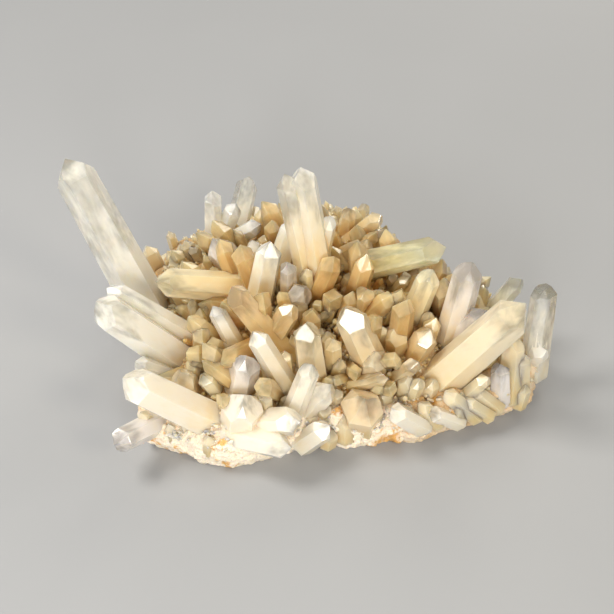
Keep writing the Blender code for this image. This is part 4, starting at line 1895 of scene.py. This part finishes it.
    def _dressed(
        self,
        crowd: Crowd,
        chance: np.random.Generator,
        thicket: Thicket,
        feet: np.ndarray,
        share: np.ndarray,
        fit: np.ndarray,
    ) -> bpy.types.Object:
        """Makes a crowd's piece of the points that fit.

        Args:
            crowd: the kind of points.
            chance: where the chance numbers come from.
            thicket: the points that were tried.
            feet: their places on the crust in mm.
            share: their shares of the way out.
            fit: True for each that stays.

        Returns:
            The object.
        """
        # Painted shade, more towards the middle of the cluster where the points stand deep between others.
        start, fall, spread = crowd.shade
        shade = np.clip(start - share[fit] * fall + chance.normal(0.0, spread, fit.sum()), 0.0, 1.0)
        rim = self.dome.front_rim(feet[fit, 0], feet[fit, 1], crowd.rim_right)
        made = thicket.kept(fit).build(crowd.name, self.shift, shade, rim)
        self._declare(made, crowd.finish.material(crowd.name))
        return made

    def _fingers(self) -> None:
        """Stout fingers that stand close together between the large points, shorter at the back."""
        chance = np.random.default_rng(FINGERS.seed)
        feet, share = self._scatter(FINGERS.count, FINGERS.seed + 1, FINGERS.reach)
        back = ramp(feet[:, 1], 10.0, 50.0) * ramp(share, 0.45, 0.7)
        slim = 1.0 - 0.3 * ramp(share, 0.5, 1.0)
        short = (1.0 - 0.3 * ramp(share, 0.6, 1.0)) * (1.0 - 0.4 * back)
        thicket = self._drawn(FINGERS, chance, feet, slim, short)
        tips = thicket.part_way(1.0)
        fit = self._inside_box(tips + thicket.axes * 0.5) & self._hides_none(tips)
        for part, margin in self.finger_checks:
            fit &= self._free_of_large(thicket.part_way(part), margin)
        fit &= self.dome.front_rim(feet[:, 0], feet[:, 1]) < self.finger_rim
        fit &= chance.random(len(feet)) > 0.85 * back * ramp(-feet[:, 0], 0.0, 40.0)
        fit[fit] = self._spaced(feet[fit], thicket.widths[fit], self.finger_spacing)
        worn_edges(self._dressed(FINGERS, chance, thicket, feet, share, fit), *self.finger_bevel)

    def _between(self) -> None:
        """Small points that fill the ground between the large ones, fewer on the pale front rim."""
        chance = np.random.default_rng(BETWEEN.seed)
        feet, share = self._scatter(BETWEEN.count, BETWEEN.seed + 1, BETWEEN.reach)
        thicket = self._drawn(BETWEEN, chance, feet, 1.1 - 0.35 * share, np.ones(len(feet)))
        fit = chance.random(len(feet)) > 1.3 * self.dome.front_rim(feet[:, 0], feet[:, 1])
        for part, margin in self.between_checks:
            spots = thicket.part_way(part)
            fit &= self._free_of_large(spots, margin) & self._inside_box(spots)
        self._dressed(BETWEEN, chance, thicket, feet, share, fit)

    def _druse(self) -> None:
        """The sugar of tiny points that covers the crust."""
        chance = np.random.default_rng(DRUSE.seed)
        feet, share = self._scatter(DRUSE.count, DRUSE.seed + 1, DRUSE.reach)
        same = np.ones(len(feet))
        thicket = self._drawn(DRUSE, chance, feet, same, same)
        tips = thicket.part_way(1.0)
        fit = self._free_of_large(tips, 0.2) & self._inside_box(tips)
        self._dressed(DRUSE, chance, thicket, feet, share, fit)


@dataclass(frozen=True)
class Lamp:
    """A soft lamp: its place in metres, its side in metres, its power in watts and its colour."""

    name: str
    where: Triple
    size: float
    power: float
    colour: Triple
    aim: Triple = (0.0, 0.0, 0.03)

    def build(self) -> None:
        """Makes the lamp, which faces the cluster."""
        data = bpy.data.lights.new(self.name, "AREA")
        data.size = self.size
        data.energy = self.power
        data.color = self.colour
        back = unit(np.array(self.where) - np.array(self.aim))
        side = unit(np.cross(np.array([0.0, 0.0, 1.0]), back))
        placed(self.name, data, (side, np.cross(back, side), back, np.array(self.where)))


@dataclass(frozen=True)
class Studio:
    """A plain pale floor and soft studio light. The front lamps mirror in the facets that shine."""

    floor_half: float = 3000.0
    floor_drop: float = 0.2
    floor_colour: Triple = (0.34, 0.35, 0.37)
    sky_colour: Triple = (1.0, 0.985, 0.95)
    sky_strength: float = 0.41
    floor_rough: float = 0.75
    tone_scale: float = 6.0
    tone_gain: float = 1.03
    lamps: tuple[Lamp, ...] = (
        Lamp("key", (-0.62, 0.02, 0.95), 0.40, 8.8, (1.0, 0.95, 0.86)),
        Lamp("front_glint", (0.06, -1.10, 0.53), 0.20, 3.2, (1.0, 0.98, 0.94)),
        Lamp("front_fill", (-0.22, -1.45, 0.58), 0.50, 7.0, (1.0, 0.97, 0.92)),
        Lamp("left_glint", (-0.62, -0.95, 0.42), 0.25, 2.2, (1.0, 0.98, 0.94)),
        Lamp("right_glow", (0.57, -0.70, 0.68), 0.25, 3.0, (1.0, 0.88, 0.64)),
        Lamp("back_rim", (0.45, 0.8, 0.6), 0.5, 4.0, (1.0, 0.93, 0.80)),
    )

    def build(self) -> None:
        """Makes the floor, the surrounding light and the lamps."""
        self._floor()
        world = bpy.data.worlds.new("studio")
        world.use_nodes = True
        back = world.node_tree.nodes["Background"]
        back.inputs["Color"].default_value = (*self.sky_colour, 1.0)
        back.inputs["Strength"].default_value = self.sky_strength
        bpy.context.scene.world = world
        for lamp in self.lamps:
            lamp.build()
        bpy.context.scene.view_settings.view_transform = "Standard"

    def _floor(self) -> None:
        """The floor, a flat sheet just under the cluster, with a faint unevenness of tone."""
        signs = np.array([[-1.0, -1.0], [1.0, -1.0], [1.0, 1.0], [-1.0, 1.0]])
        corners = np.hstack([signs * self.floor_half, np.full((4, 1), -self.floor_drop)])
        floor = Surface(corners, [(0, 1, 2, 3)]).mesh_object("floor")
        graph = Graph("floor")
        tone = graph.noise(graph.place(), self.tone_scale, {"Detail": 2.0}).step(0.2, 0.8)
        lighter = tuple(min(1.0, part * self.tone_gain) for part in self.floor_colour)
        colour = graph.spread(tone, self.floor_colour, lighter)
        shader = graph.principled({"Base Color": colour, "Roughness": self.floor_rough})
        floor.data.materials.append(graph.close(shader))


def main() -> None:
    """Builds the cluster, the studio and the camera."""
    logging.basicConfig(level=logging.INFO, format="%(message)s")
    cluster = Cluster()
    cluster.build()
    Studio().build()
    bpy.context.scene.camera = cluster.sight.camera(cluster.shift)


if __name__ == "__main__":
    main()
